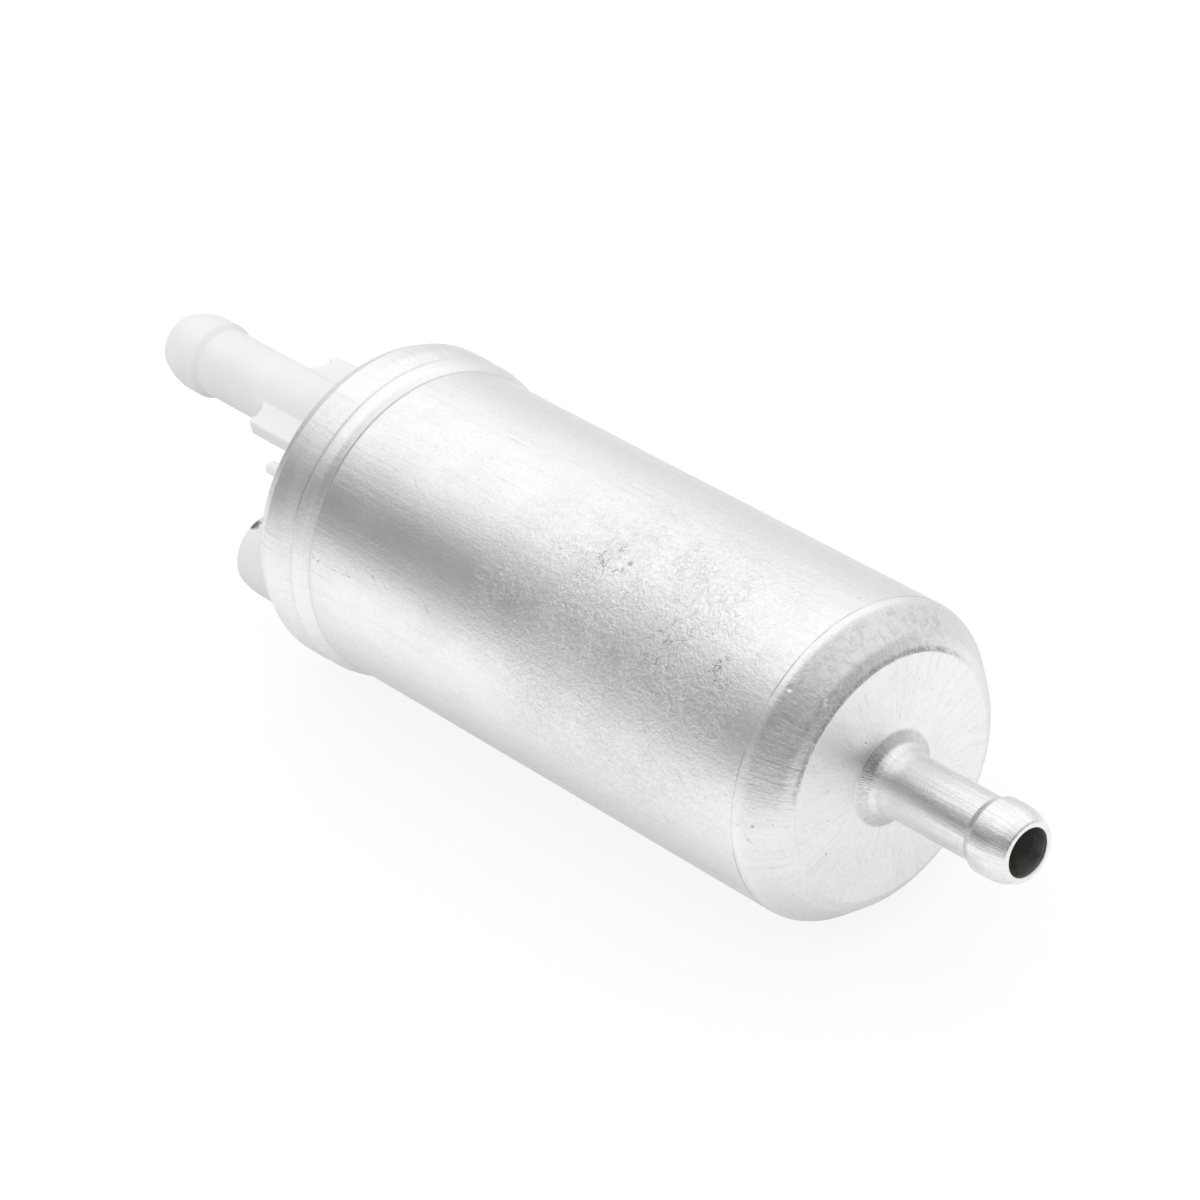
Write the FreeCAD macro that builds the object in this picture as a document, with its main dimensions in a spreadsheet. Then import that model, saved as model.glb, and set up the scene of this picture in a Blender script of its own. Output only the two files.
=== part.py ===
import FreeCAD
import Part
import math
import os
import Sketcher
from FreeCAD import Placement, Rotation, Vector

# In-line electric fuel pump: a drawn aluminium can with the inlet nipple pulled out of its front face,
# a white moulded end cover with the outlet nipple and the plug socket crimped into its rear, and inside
# it a gear-ring pump stage, a permanent-magnet motor, a non-return valve and a pressure-relief valve.
# Frame: X is the pump's axis, with +X towards the inlet; Z is up through the outlet nipple. The origin
# is on the axis, at the middle of the straight length of the can where its clamp sits.

DIMENSIONS = [
    # can
    ("can_radius", 19.0, "outer radius of the straight can"),
    ("can_length", 70.8, "straight length of the can, shoulder to rim"),
    ("can_wall", 1.0, "wall of the can"),
    ("face_wall", 1.2, "wall of the can's front face"),
    ("shoulder_depth", 5.0, "axial depth of the rounded shoulder"),
    ("face_radius", 15.0, "radius where the shoulder meets the front face"),
    ("shoulder_round", 8.0, "radius of the shoulder's curve"),
    ("face_round", 0.8, "rounding between shoulder and face"),
    # inlet nipple, drawn out of the can's front face
    ("inlet_bore", 2.9, "radius of the inlet's bore"),
    ("inlet_tube", 3.84, "outer radius of the inlet's tube"),
    ("inlet_flare", 3.4, "radius of the fillet that runs the tube into the face"),
    ("inlet_flare_rise", 1.8, "height of that fillet above the tube"),
    ("inlet_reach", 20.2, "inlet tip to front face"),
    ("inlet_bead", 4.45, "crest radius of the inlet's hose bead"),
    ("inlet_bead_length", 5.8, "hose bead, back step to tip"),
    ("inlet_bead_step", 1.0, "length of the bead's back slope"),
    ("inlet_land", 1.4, "straight land on the bead's crest"),
    ("inlet_nose", 3.75, "outer radius at the inlet's tip"),
    ("inlet_nose_round", 0.35, "rounding of the inlet's tip"),
    ("inlet_barrel_round", 7.5, "radius of the bead's long front curve"),
    # crimped rim
    ("rim_radius", 20.0, "outer radius of the crimped rim"),
    ("rim_length", 8.9, "crimped rim, can to rear end"),
    ("rim_flare", 1.3, "length of the flare from can to rim"),
    ("rim_flare_round", 2.2, "radius of the flare's rolled edge"),
    ("rim_groove_place", 2.9, "can to the middle of the rolled groove"),
    ("rim_groove_half", 0.9, "half width of the rolled groove"),
    ("rim_groove_depth", 0.4, "depth of the rolled groove"),
    ("rim_lip_round", 1.6, "outer rounding of the crimped lip"),
    ("rim_lip", 2.3, "width of the crimped lip, rim to mouth"),
    # end cover
    ("cover_spigot", 3.1, "cover's inner face ahead of the rim"),
    ("cover_clearance", 0.1, "radial clearance of cover, holder and plates in the can"),
    ("seal_thick", 1.3, "radial thickness of the cover's seal ring"),
    ("seal_width", 1.4, "width of the cover's seal ring"),
    ("seal_side", 0.3, "seal ring's clearance at each side of its groove"),
    ("seal_land", 0.6, "cover's land ahead of the seal ring's groove"),
    ("outlet_offset", 8.7, "height of the outlet nipple above the pump's axis"),
    ("outlet_reach", 34.4, "outlet tip to the rim's rear end"),
    ("outlet_bore", 2.9, "radius of the outlet's bore"),
    ("outlet_tube", 4.25, "outer radius of the outlet's tube"),
    ("outlet_bead", 4.8, "crest radius of the outlet's hose bead"),
    ("outlet_bead_length", 7.2, "outlet's bead, back step to tip"),
    ("outlet_bead_step", 0.7, "length of that bead's back slope"),
    ("outlet_land", 1.4, "straight land on that bead's crest"),
    ("outlet_nose", 3.9, "outer radius at the outlet's tip"),
    ("outlet_nose_round", 0.5, "rounding of the outlet's tip"),
    ("outlet_barrel_round", 12.0, "radius of that bead's long front curve"),
    ("wing_half", 7.2, "half width of the plate under the outlet nipple"),
    ("wing_length", 13.0, "length of the plate behind the rim"),
    ("wing_top", 10.9, "height of the plate's top face"),
    ("wing_thick", 2.0, "thickness of the plate"),
    ("wing_blend", 3.0, "fillet from the plate's end corners to the nipple"),
    ("socket_inset", 0.5, "half-round plug socket inside the rim's mouth"),
    ("socket_top", 0.8, "height of the socket's flat top"),
    ("socket_corner", 3.0, "corner rounding of the socket"),
    ("socket_wall", 1.5, "wall of the socket"),
    ("socket_length", 10.0, "socket, rim's end to mouth"),
    ("socket_depth", 9.4, "depth of the socket"),
    ("pip_radius", 0.8, "radius of the locating pip on the cover"),
    ("pip_length", 5.0, "locating pip behind the rim"),
    ("pip_side", 11.0, "sideways place of the pip"),
    ("pip_height", 10.4, "height of the pip above the axis"),
    # terminals
    ("blade_side", 7.0, "sideways place of each terminal blade"),
    ("blade_height", 7.6, "depth of the blades' centres below the axis"),
    ("blade_width", 6.3, "width of a terminal blade"),
    ("blade_thick", 0.8, "thickness of a terminal blade"),
    ("blade_reach", 8.0, "blade tip behind the socket's floor"),
    ("blade_tail", 1.6, "blade's inner end ahead of the cover"),
    ("blade_tip", 1.2, "bevel of a blade's tip"),
    ("blade_hole", 0.85, "radius of the latch hole in a blade"),
    ("blade_hole_place", 2.4, "blade's tip to the middle of its latch hole"),
    ("blade_slot", 0.05, "clearance of a blade in the cover"),
    # non-return valve
    ("valve_bore", 3.9, "radius of the non-return valve's chamber"),
    ("valve_depth", 9.5, "depth of that chamber from the cover's inner face"),
    ("valve_seat_length", 2.0, "length of the valve's seat ring"),
    ("valve_seat_hole", 2.1, "radius of the hole in the seat ring"),
    ("valve_head", 3.0, "radius of the poppet's head"),
    ("valve_head_length", 1.3, "thickness of the poppet's head"),
    ("valve_stem", 1.1, "radius of the poppet's stem"),
    ("valve_stem_length", 3.6, "length of the poppet's stem"),
    ("valve_wire", 0.25, "radius of the valve spring's wire"),
    ("valve_coil", 3.25, "mean radius of the valve spring"),
    ("valve_turns", 4.0, "turns of the valve spring"),
    # pump stage
    ("washer_room", 1.0, "inlet plate's front face behind the shoulder's edge"),
    ("washer_width", 4.4, "width of the coned load washer"),
    ("washer_edge", 0.5, "load washer's outer edge inside the plate's radius"),
    ("washer_rise", 1.1, "rise of the load washer's cone"),
    ("washer_thick", 0.4, "thickness of the load washer"),
    ("inlet_plate_thick", 5.4, "thickness of the inlet plate"),
    ("gear_width", 6.5, "thickness of the gear housing"),
    ("outlet_plate_thick", 6.5, "thickness of the outlet plate"),
    ("gear_side_play", 0.03, "side clearance of the gears"),
    ("gear_offset", 0.9, "distance between the two gears' axes"),
    ("lobe_circle", 9.5, "radius of the circle of the ring's lobes"),
    ("lobe_radius", 2.6, "radius of a lobe"),
    ("lobe_play", 0.07, "clearance between rotor and ring"),
    ("ring_radius", 11.6, "outer radius of the gear ring"),
    ("ring_play", 0.07, "radial clearance of the gear ring in its housing"),
    ("port_inner", 5.9, "inner radius of the kidney ports"),
    ("port_outer", 8.6, "outer radius of the kidney ports"),
    ("port_angle", 62.0, "half angle of a kidney port"),
    ("screw_radius", 1.2, "radius of a screw's shank"),
    ("screw_head", 2.2, "radius of a screw's head"),
    ("screw_head_length", 1.6, "height of a screw's head"),
    ("screw_clearance", 0.1, "radial clearance of the screws"),
    ("screw_short", 1.0, "screw's tip ahead of the outlet plate's back"),
    ("relief_bore", 1.8, "radius of the relief valve's bore"),
    ("relief_ball", 1.5, "radius of the relief valve's ball"),
    ("relief_hole", 1.0, "radius of the hole that the ball closes"),
    ("relief_seat", 2.0, "thickness of the wall that the ball seats on"),
    ("relief_plug_length", 1.8, "length of the relief valve's plug"),
    ("relief_wire", 0.22, "radius of the relief spring's wire"),
    ("relief_coil", 1.2, "mean radius of the relief spring"),
    ("relief_turns", 6.0, "turns of the relief spring"),
    # motor
    ("holder_length", 8.6, "length of the brush holder"),
    ("holder_bore", 6.4, "radius of the holder's opening round the commutator"),
    ("holder_gap", 0.2, "axial gap at each end of the flux ring and holder"),
    ("flux_wall", 1.5, "wall of the flux ring"),
    ("magnet_thick", 3.6, "thickness of the magnets"),
    ("magnet_gap", 0.1, "radial gap between magnets and flux ring"),
    ("magnet_margin", 3.0, "flux ring's end beyond the magnets"),
    ("magnet_angle", 64.0, "half angle of a magnet"),
    ("clip_angle", 19.0, "half angle of a magnet clip"),
    ("clip_thick", 0.6, "thickness of a magnet clip"),
    ("clip_leg", 2.4, "length of a clip's legs, towards the shaft"),
    ("air_gap", 0.6, "radial gap between laminations and magnets"),
    ("stack_inset", 3.0, "magnets' ends beyond the laminations"),
    ("slot_count", 8.0, "number of armature slots and commutator bars"),
    ("slot_mouth", 0.9, "half width of a slot's mouth"),
    ("slot_half", 2.0, "half width of a slot"),
    ("slot_floor", 6.2, "radius of a slot's floor"),
    ("slot_lip", 1.1, "thickness of a slot's lips"),
    ("winding_gap", 0.15, "gap between winding and slot wall"),
    ("winding_overhang", 4.2, "end turns beyond the laminations"),
    ("winding_bevel", 1.8, "bevel of the end turns"),
    ("shaft_radius", 2.0, "radius of the armature's shaft"),
    ("shaft_flat", 1.5, "height of the shaft's drive flat"),
    ("shaft_bevel", 0.4, "bevel at the shaft's ends"),
    ("shaft_play", 0.05, "radial clearance of the shaft in its bushes"),
    ("fit_play", 0.03, "clearance of pieces fixed on the shaft"),
    ("bush_length", 4.2, "length of a shaft bush"),
    ("bush_radius", 3.6, "outer radius of a shaft bush"),
    ("bush_seat", 0.05, "radial clearance of a bush in its seat"),
    ("thrust_thick", 0.8, "thickness of a thrust washer"),
    ("thrust_radius", 3.3, "outer radius of a thrust washer"),
    ("thrust_play", 0.3, "end play of the armature"),
    ("commutator_radius", 5.0, "radius of the commutator"),
    ("commutator_hub", 3.9, "radius of the commutator's moulded hub"),
    ("commutator_length", 7.4, "length of the commutator's bars"),
    ("commutator_slot", 0.25, "half width of the gap between bars"),
    ("riser_radius", 6.1, "radius of the bars' risers"),
    ("riser_length", 0.9, "length of the bars' risers"),
    ("brush_width", 5.0, "brush, along the shaft"),
    ("brush_height", 4.0, "brush, across the shaft"),
    ("brush_length", 5.2, "brush, along its travel"),
    ("brush_play", 0.1, "clearance of a brush in its box"),
    ("brush_box_wall", 3.3, "wall at the outer end of a brush box"),
    ("brush_touch", 0.05, "gap from brush to commutator"),
    ("brush_wire", 0.25, "radius of a brush spring's wire"),
    ("brush_coil", 1.5, "mean radius of a brush spring"),
    ("brush_turns", 4.0, "turns of a brush spring"),
    ("lead_radius", 0.4, "radius of a brush lead"),
    ("lead_bend", 1.0, "bend radius of a brush lead"),
    # inlet strainer
    ("strainer_radius", 9.5, "outer radius of the strainer's frame"),
    ("strainer_rim", 1.5, "width of the strainer's frame"),
    ("strainer_thick", 1.2, "thickness of the strainer's frame"),
    ("strainer_depth", 3.0, "depth of the strainer's dome"),
    ("strainer_top", 2.0, "radius of the dome's flat top"),
    ("mesh_thick", 0.3, "thickness of the strainer's mesh"),
    ("assembly_gap", 0.05, "gap left where one fixed piece seats on another"),
]

ROTOR_LOBES = 6
RING_LOBES = ROTOR_LOBES + 1
ROTOR_ARCS_PER_LOBE = 8
STRAINER_BARS = 3
PORT_END_ROUND = 1.02  # radius of a port's end over half its width

doc = FreeCAD.newDocument("FuelPump")
sheet = doc.addObject("Spreadsheet::Sheet", "Dimensions")


class Size:
    """A size that keeps the formula it comes from, so that it can both place and bind geometry."""

    def __init__(self, value, formula):
        self.value = value
        self.formula = formula

    def __add__(self, other):
        other = as_size(other)
        return Size(self.value + other.value, f"({self.formula} + {other.formula})")

    def __sub__(self, other):
        other = as_size(other)
        return Size(self.value - other.value, f"({self.formula} - {other.formula})")

    def __mul__(self, other):
        other = as_size(other)
        return Size(self.value * other.value, f"{self.formula} * {other.formula}")

    def __truediv__(self, other):
        other = as_size(other)
        return Size(self.value / other.value, f"{self.formula} / {other.formula}")

    def __neg__(self):
        return Size(-self.value, f"(0 - {self.formula})")

    def __radd__(self, other):
        return as_size(other) + self

    def __rsub__(self, other):
        return as_size(other) - self

    def __rmul__(self, other):
        return as_size(other) * self


def as_size(value):
    """A plain number becomes a size that has itself as formula."""
    return value if isinstance(value, Size) else Size(float(value), repr(float(value)))


def root(size):
    """Square root of a size."""
    return Size(math.sqrt(size.value), f"sqrt({size.formula})")


def sine(angle):
    """Sine of an angle in degrees."""
    return Size(math.sin(math.radians(angle.value)), f"sin({angle.formula})")


def cosine(angle):
    """Cosine of an angle in degrees."""
    return Size(math.cos(math.radians(angle.value)), f"cos({angle.formula})")


class Dimensions:
    """The sheet's cells, by alias."""


dim = Dimensions()
for row, (alias, number, note) in enumerate(DIMENSIONS, start=1):
    sheet.set(f"A{row}", note)
    sheet.set(f"B{row}", repr(number))
    sheet.setAlias(f"B{row}", alias)
    setattr(dim, alias, Size(number, f"Dimensions.{alias}"))
doc.recompute()

# Places along the pump's axis that more than one piece shares

half_can = dim.can_length / 2
rim_start = -half_can
rim_end = rim_start - dim.rim_length
face_front = half_can + dim.shoulder_depth
face_back = face_front - dim.face_wall
inlet_tip = face_front + dim.inlet_reach
groove_middle = rim_start - dim.rim_groove_place
can_bore = dim.can_radius - dim.can_wall
rim_bore = dim.rim_radius - dim.can_wall
rim_mouth = dim.rim_radius - dim.rim_lip
inner_fit = can_bore - dim.cover_clearance
magnet_outer = inner_fit - dim.flux_wall - dim.magnet_gap
magnet_inner = magnet_outer - dim.magnet_thick
stack_radius = magnet_inner - dim.air_gap
slot_lid = stack_radius - dim.slot_lip
brush_box = inner_fit - dim.brush_box_wall

plate_front = half_can - dim.washer_room
inlet_plate_back = plate_front - dim.inlet_plate_thick
gear_back = inlet_plate_back - dim.gear_width
outlet_plate_back = gear_back - dim.outlet_plate_thick

cover_inner = rim_start + dim.cover_spigot
holder_back = cover_inner + dim.holder_gap
holder_front = holder_back + dim.holder_length
flux_back = holder_front + dim.holder_gap
flux_front = outlet_plate_back - dim.holder_gap
magnet_back = flux_back + dim.magnet_margin
magnet_front = flux_front - dim.magnet_margin
stack_back = magnet_back + dim.stack_inset
stack_front = magnet_front - dim.stack_inset
stack_length = stack_front - stack_back

rear_bush_front = cover_inner - dim.thrust_play - dim.thrust_thick / 2
rear_bush_back = rear_bush_front - dim.bush_length
rear_thrust_back = rear_bush_front + dim.thrust_play
hub_back = rear_thrust_back + dim.thrust_thick + dim.fit_play
bars_back = hub_back + dim.assembly_gap
bars_front = bars_back + dim.commutator_length
front_bush_back = outlet_plate_back + dim.thrust_play
front_thrust_front = front_bush_back - dim.thrust_play
outlet_end = rim_end - dim.outlet_reach
socket_floor = rim_end - dim.socket_length + dim.socket_depth

PARTS = []


def keep(piece):
    """Adds a finished sub-part to the pump."""
    PARTS.append(piece)
    return piece


def new_body(label):
    """An empty body that carries one sub-part."""
    body = doc.addObject("PartDesign::Body", label)
    body.Label = label
    return keep(body)


def origin_plane(body, role):
    """One of the body's own origin planes."""
    return next(plane for plane in body.Origin.OriginFeatures if plane.Role == role)


def centre_of_arc(start, end, radius, turn):
    """Centre of the arc under a half circle from start to end; turn 1 is anticlockwise, -1 clockwise."""
    chord = end - start
    rise = math.sqrt(max(radius**2 - (chord.Length / 2) ** 2, 0.0))
    across = Vector(-chord.y, chord.x, 0).normalize()
    return (start + end) / 2 + across * rise * turn


class Drawing:
    """A sketch on one of a body's planes, whose points and radii are bound to sizes."""

    def __init__(self, body, plane, name, lift=None):
        self.sketch = body.newObject("Sketcher::SketchObject", name)
        self.sketch.AttachmentSupport = [(origin_plane(body, plane), "")]
        self.sketch.MapMode = "FlatFace"
        if lift is not None:
            self.sketch.AttachmentOffset = Placement(Vector(0, 0, lift.value), Rotation())
            self.sketch.setExpression(".AttachmentOffset.Base.z", lift.formula)

    def bind(self, kind, geometry, *rest):
        """One dimension on the sketch, with its formula; a zero coordinate sits on the sketch's axis."""
        size = as_size(rest[-1])
        if size.formula == "0.0":
            axis = -2 if kind == "DistanceX" else -1
            self.sketch.addConstraint(Sketcher.Constraint("PointOnObject", geometry, rest[0], axis))
            return
        where = self.sketch.addConstraint(Sketcher.Constraint(kind, geometry, *rest[:-1], size.value))
        if "Dimensions" in size.formula:
            self.sketch.setExpression(f"Constraints[{where}]", size.formula)

    def outline(self, corners):
        """A closed outline. A corner (x, y) ends a line; (x, y, radius, turn) ends an arc."""
        spots = [Vector(as_size(c[0]).value, as_size(c[1]).value, 0) for c in corners]
        edges = []
        for number, corner in enumerate(corners):
            start = spots[number - 1]
            end = spots[number]
            if len(corner) == 2:
                edge = self.sketch.addGeometry(Part.LineSegment(start, end))
                edges.append((edge, 1, 2))
                continue
            radius = as_size(corner[2])
            turn = corner[3]
            centre = centre_of_arc(start, end, radius.value, turn)
            first, last = (start, end) if turn > 0 else (end, start)
            angles = [math.atan2(p.y - centre.y, p.x - centre.x) for p in (first, last)]
            circle = Part.Circle(centre, Vector(0, 0, 1), radius.value)
            edge = self.sketch.addGeometry(Part.ArcOfCircle(circle, *angles))
            edges.append((edge, 1, 2) if turn > 0 else (edge, 2, 1))
            self.bind("Radius", edge, radius)
        for number, (edge, _, end) in enumerate(edges):
            following, start, _ = edges[(number + 1) % len(edges)]
            self.sketch.addConstraint(Sketcher.Constraint("Coincident", edge, end, following, start))
            self.bind("DistanceX", edge, end, corners[number][0])
            self.bind("DistanceY", edge, end, corners[number][1])
        return self

    def circle(self, x, y, radius):
        """A full circle."""
        x, y, radius = as_size(x), as_size(y), as_size(radius)
        ring = Part.Circle(Vector(x.value, y.value, 0), Vector(0, 0, 1), radius.value)
        edge = self.sketch.addGeometry(ring)
        self.bind("Radius", edge, radius)
        self.bind("DistanceX", edge, 3, x)
        self.bind("DistanceY", edge, 3, y)
        return self

    def box(self, left, bottom, right, top):
        """A rectangle between two corners."""
        return self.outline([(left, bottom), (right, bottom), (right, top), (left, top)])

    def axis(self, height):
        """A construction line along the sketch's X at a height, as the axis of a revolution."""
        height = as_size(height)
        line = Part.LineSegment(Vector(0, height.value, 0), Vector(dim.can_radius.value, height.value, 0))
        edge = self.sketch.addGeometry(line, True)
        self.sketch.addConstraint(Sketcher.Constraint("Horizontal", edge))
        self.bind("DistanceX", edge, 1, 0)
        self.bind("DistanceX", edge, 2, dim.can_radius)
        self.bind("DistanceY", edge, 1, height)
        return self


def feature(body, kind, name, drawing):
    """A PartDesign feature on a drawing."""
    made = body.newObject(f"PartDesign::{kind}", name)
    made.Profile = drawing.sketch
    return made


def revolve(body, name, drawing, axis="H_Axis", kind="Revolution"):
    """Turns a drawing once round its own horizontal axis or its own construction line."""
    made = feature(body, kind, name, drawing)
    made.ReferenceAxis = (drawing.sketch, [axis])
    made.Angle = 360
    return made


def extrude(body, name, drawing, length, kind="Pad", back=False, both=False):
    """Pads or pockets a drawing by a length: backwards along its normal, or half to each side."""
    made = feature(body, kind, name, drawing)
    length = as_size(length)
    made.Length = length.value
    made.setExpression("Length", length.formula)
    if both:
        made.Midplane = True
    else:
        made.Reversed = back
    return made


def cut_forward(body, name, drawing, length):
    """Pocket from a plane across the pump towards +X."""
    return extrude(body, name, drawing, length, "Pocket", back=True)


def cut_backward(body, name, drawing, length):
    """Pocket from a plane across the pump towards -X."""
    return extrude(body, name, drawing, length, "Pocket", back=False)


def polar(body, name, originals, count):
    """Repeats features round the pump's axis."""
    made = body.newObject("PartDesign::PolarPattern", name)
    made.Originals = originals
    made.Axis = (origin_plane(body, "X_Axis"), [""])
    made.Angle = 360
    made.Occurrences = int(round(as_size(count).value))
    if isinstance(count, Size):
        made.setExpression("Occurrences", count.formula)
    body.Tip = made
    return made


def tube(label, back, front, outer, inner):
    """A plain ring round the pump's axis."""
    body = new_body(label)
    drawing = Drawing(body, "XZ_Plane", label + "_profile").box(back, inner, front, outer)
    revolve(body, label + "_turned", drawing)
    return body


def shaped(label, shape, placement=Placement()):
    """A sub-part whose shape comes from a formula."""
    piece = doc.addObject("Part::Feature", label)
    piece.Label = label
    piece.Shape = shape
    piece.Placement = placement
    return keep(piece)


# Can: one drawn aluminium shell, from the inlet's tip round to the crimped lip


def rim_curve():
    """Outer wall of the crimped rim from the flare to the lip: the flare's roll, then the rolled groove."""
    crest = dim.rim_radius
    middle = crest - dim.rim_groove_depth / 2
    half = dim.rim_groove_half
    bend = half * half / dim.rim_groove_depth / 2
    return [
        (rim_start - dim.rim_flare, crest, dim.rim_flare_round, 1),
        (groove_middle + half, crest),
        (groove_middle + half / 2, middle, bend, 1),
        (groove_middle - half / 2, middle, bend, -1),
        (groove_middle - half, crest, bend, 1),
    ]


def make_can():
    """Drawn can: shoulder, front face, inlet nipple with its hose bead, grooved and crimped rim."""
    body = new_body("can")
    bead_back = inlet_tip - dim.inlet_bead_length
    crest_back = bead_back + dim.inlet_bead_step
    crest_front = crest_back + dim.inlet_land
    flare_top = dim.inlet_tube + dim.inlet_flare_rise
    flare_run = root(dim.inlet_flare * dim.inlet_flare - (dim.inlet_flare - dim.inlet_flare_rise)
                     * (dim.inlet_flare - dim.inlet_flare_rise))
    lip_corner = dim.rim_lip_round - dim.can_wall
    shoulder_middle = half_can + dim.shoulder_depth / 2
    outline = [
        (rim_start, dim.can_radius),
        *rim_curve(),
        (rim_end + dim.rim_lip_round, dim.rim_radius),
        (rim_end, dim.rim_radius - dim.rim_lip_round, dim.rim_lip_round, 1),
        (rim_end, rim_mouth),
        (rim_end + dim.can_wall, rim_mouth),
        (rim_end + dim.can_wall, rim_bore - lip_corner),
        (rim_end + dim.can_wall + lip_corner, rim_bore),
        (groove_middle - dim.rim_groove_half, rim_bore),
        (groove_middle, rim_bore - dim.rim_groove_depth),
        (groove_middle + dim.rim_groove_half, rim_bore),
        (rim_start - dim.rim_flare, rim_bore),
        (rim_start, can_bore),
        (half_can - dim.can_wall / 2, can_bore),
        (shoulder_middle, can_bore - dim.can_wall),
        (face_back, dim.face_radius - dim.can_wall),
        (face_back, dim.inlet_bore),
        (inlet_tip, dim.inlet_bore),
        (inlet_tip, dim.inlet_nose - dim.inlet_nose_round),
        (inlet_tip - dim.inlet_nose_round, dim.inlet_nose, dim.inlet_nose_round, 1),
        (crest_front, dim.inlet_bead, dim.inlet_barrel_round, 1),
        (crest_back, dim.inlet_bead),
        (bead_back, dim.inlet_tube),
        (face_front + flare_run, dim.inlet_tube),
        (face_front, flare_top, dim.inlet_flare, -1),
        (face_front, dim.face_radius - dim.face_round),
        (face_front - dim.face_round / 2, dim.face_radius + dim.face_round / 3),
        (half_can, dim.can_radius, dim.shoulder_round, 1),
    ]
    revolve(body, "can_shell", Drawing(body, "XZ_Plane", "can_profile").outline(outline))


make_can()

# Inlet side: strainer behind the inlet's bore and the washer that loads the pump stage


def make_strainer():
    """Moulded strainer frame that seats inside the can's face, and its dome of fine mesh."""
    seat = face_back - dim.assembly_gap
    ring_inner = dim.strainer_radius - dim.strainer_rim
    body = new_body("strainer_frame")
    ring = Drawing(body, "XZ_Plane", "strainer_ring")
    ring.box(seat - dim.strainer_thick, ring_inner, seat, dim.strainer_radius)
    revolve(body, "strainer_ring_turned", ring)
    spoke = Drawing(body, "YZ_Plane", "strainer_spoke", seat - dim.strainer_thick)
    spoke.box(-(dim.strainer_radius - dim.strainer_rim / 2), -dim.mesh_thick,
              dim.strainer_radius - dim.strainer_rim / 2, dim.mesh_thick)
    bar = extrude(body, "strainer_bar", spoke, dim.strainer_thick / 2)
    polar(body, "strainer_bars", [bar], STRAINER_BARS)

    mesh = new_body("strainer_mesh")
    rim = seat - dim.strainer_thick - dim.assembly_gap
    top = rim - dim.strainer_depth
    dome = Drawing(mesh, "XZ_Plane", "strainer_dome").outline([
        (rim, ring_inner + dim.mesh_thick),
        (top, dim.strainer_top),
        (top, 0),
        (top + dim.mesh_thick, 0),
        (top + dim.mesh_thick, dim.strainer_top),
        (rim, ring_inner),
    ])
    revolve(mesh, "strainer_dome_turned", dome)


def make_load_washer():
    """Coned spring washer between the can's shoulder and the inlet plate."""
    body = new_body("load_washer")
    seat = plate_front + dim.assembly_gap
    outer = inner_fit - dim.washer_edge
    inner = outer - dim.washer_width
    profile = Drawing(body, "XZ_Plane", "load_washer_profile").outline([
        (seat, inner),
        (seat + dim.washer_thick, inner),
        (seat + dim.washer_thick + dim.washer_rise, outer),
        (seat + dim.washer_rise, outer),
    ])
    revolve(body, "load_washer_turned", profile)


make_strainer()
make_load_washer()

# Pump stage: inlet plate, gear housing and outlet plate, held by two screws, with the two gears inside

gear_bore = dim.ring_radius + dim.ring_play
screw_circle = (inner_fit + gear_bore) / 2
relief_place = (inner_fit + gear_bore - dim.gear_offset) / 2
screw_hole = dim.screw_radius + dim.screw_clearance
shaft_hole = dim.shaft_radius + dim.shaft_play


def stack_holes(drawing, relief_radius):
    """The two screw holes and the relief valve's bore, in line through the whole stack."""
    drawing.circle(screw_circle, 0, screw_hole)
    drawing.circle(-screw_circle, 0, screw_hole)
    drawing.circle(0, -relief_place, relief_radius)
    return drawing


def kidney(body, name, lift, side):
    """Kidney-shaped port on one side of the gears' centre line."""
    dip = dim.gear_offset / 2
    rise = sine(dim.port_angle)
    run = cosine(dim.port_angle)
    inner_top = (run * dim.port_inner * side, rise * dim.port_inner + dip)
    inner_low = (run * dim.port_inner * side, dip - rise * dim.port_inner)
    outer_top = (run * dim.port_outer * side, rise * dim.port_outer + dip)
    outer_low = (run * dim.port_outer * side, dip - rise * dim.port_outer)
    end = (dim.port_outer - dim.port_inner) / 2 * PORT_END_ROUND
    return Drawing(body, "YZ_Plane", name, lift).outline([
        (*outer_low, end, side),
        (*outer_top, dim.port_outer, side),
        (*inner_top, end, side),
        (*inner_low, dim.port_inner, -side),
    ])


def make_inlet_plate():
    """Inlet plate: ported on the suction side, with the shaft's front pocket and screw counterbores."""
    body = new_body("inlet_plate")
    disc = Drawing(body, "XZ_Plane", "inlet_plate_profile").outline([
        (inlet_plate_back, 0),
        (plate_front, 0),
        (plate_front, inner_fit - dim.washer_room),
        (plate_front - dim.washer_room, inner_fit),
        (inlet_plate_back, inner_fit),
    ])
    revolve(body, "inlet_plate_disc", disc)
    thick = dim.inlet_plate_thick
    bores = stack_holes(Drawing(body, "YZ_Plane", "inlet_plate_bores", inlet_plate_back), dim.relief_bore)
    cut_forward(body, "inlet_plate_drilled", bores, thick)
    port = kidney(body, "inlet_port_shape", inlet_plate_back, -1)
    cut_forward(body, "inlet_port", port, thick)
    heads = Drawing(body, "YZ_Plane", "head_pockets", plate_front)
    heads.circle(screw_circle, 0, dim.screw_head + dim.screw_clearance)
    heads.circle(-screw_circle, 0, dim.screw_head + dim.screw_clearance)
    cut_backward(body, "head_pockets_cut", heads, dim.screw_head_length + dim.screw_clearance)
    pocket = Drawing(body, "YZ_Plane", "shaft_pocket_shape", inlet_plate_back)
    pocket.circle(0, 0, shaft_hole)
    cut_forward(body, "shaft_pocket", pocket, thick / 2)


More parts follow.
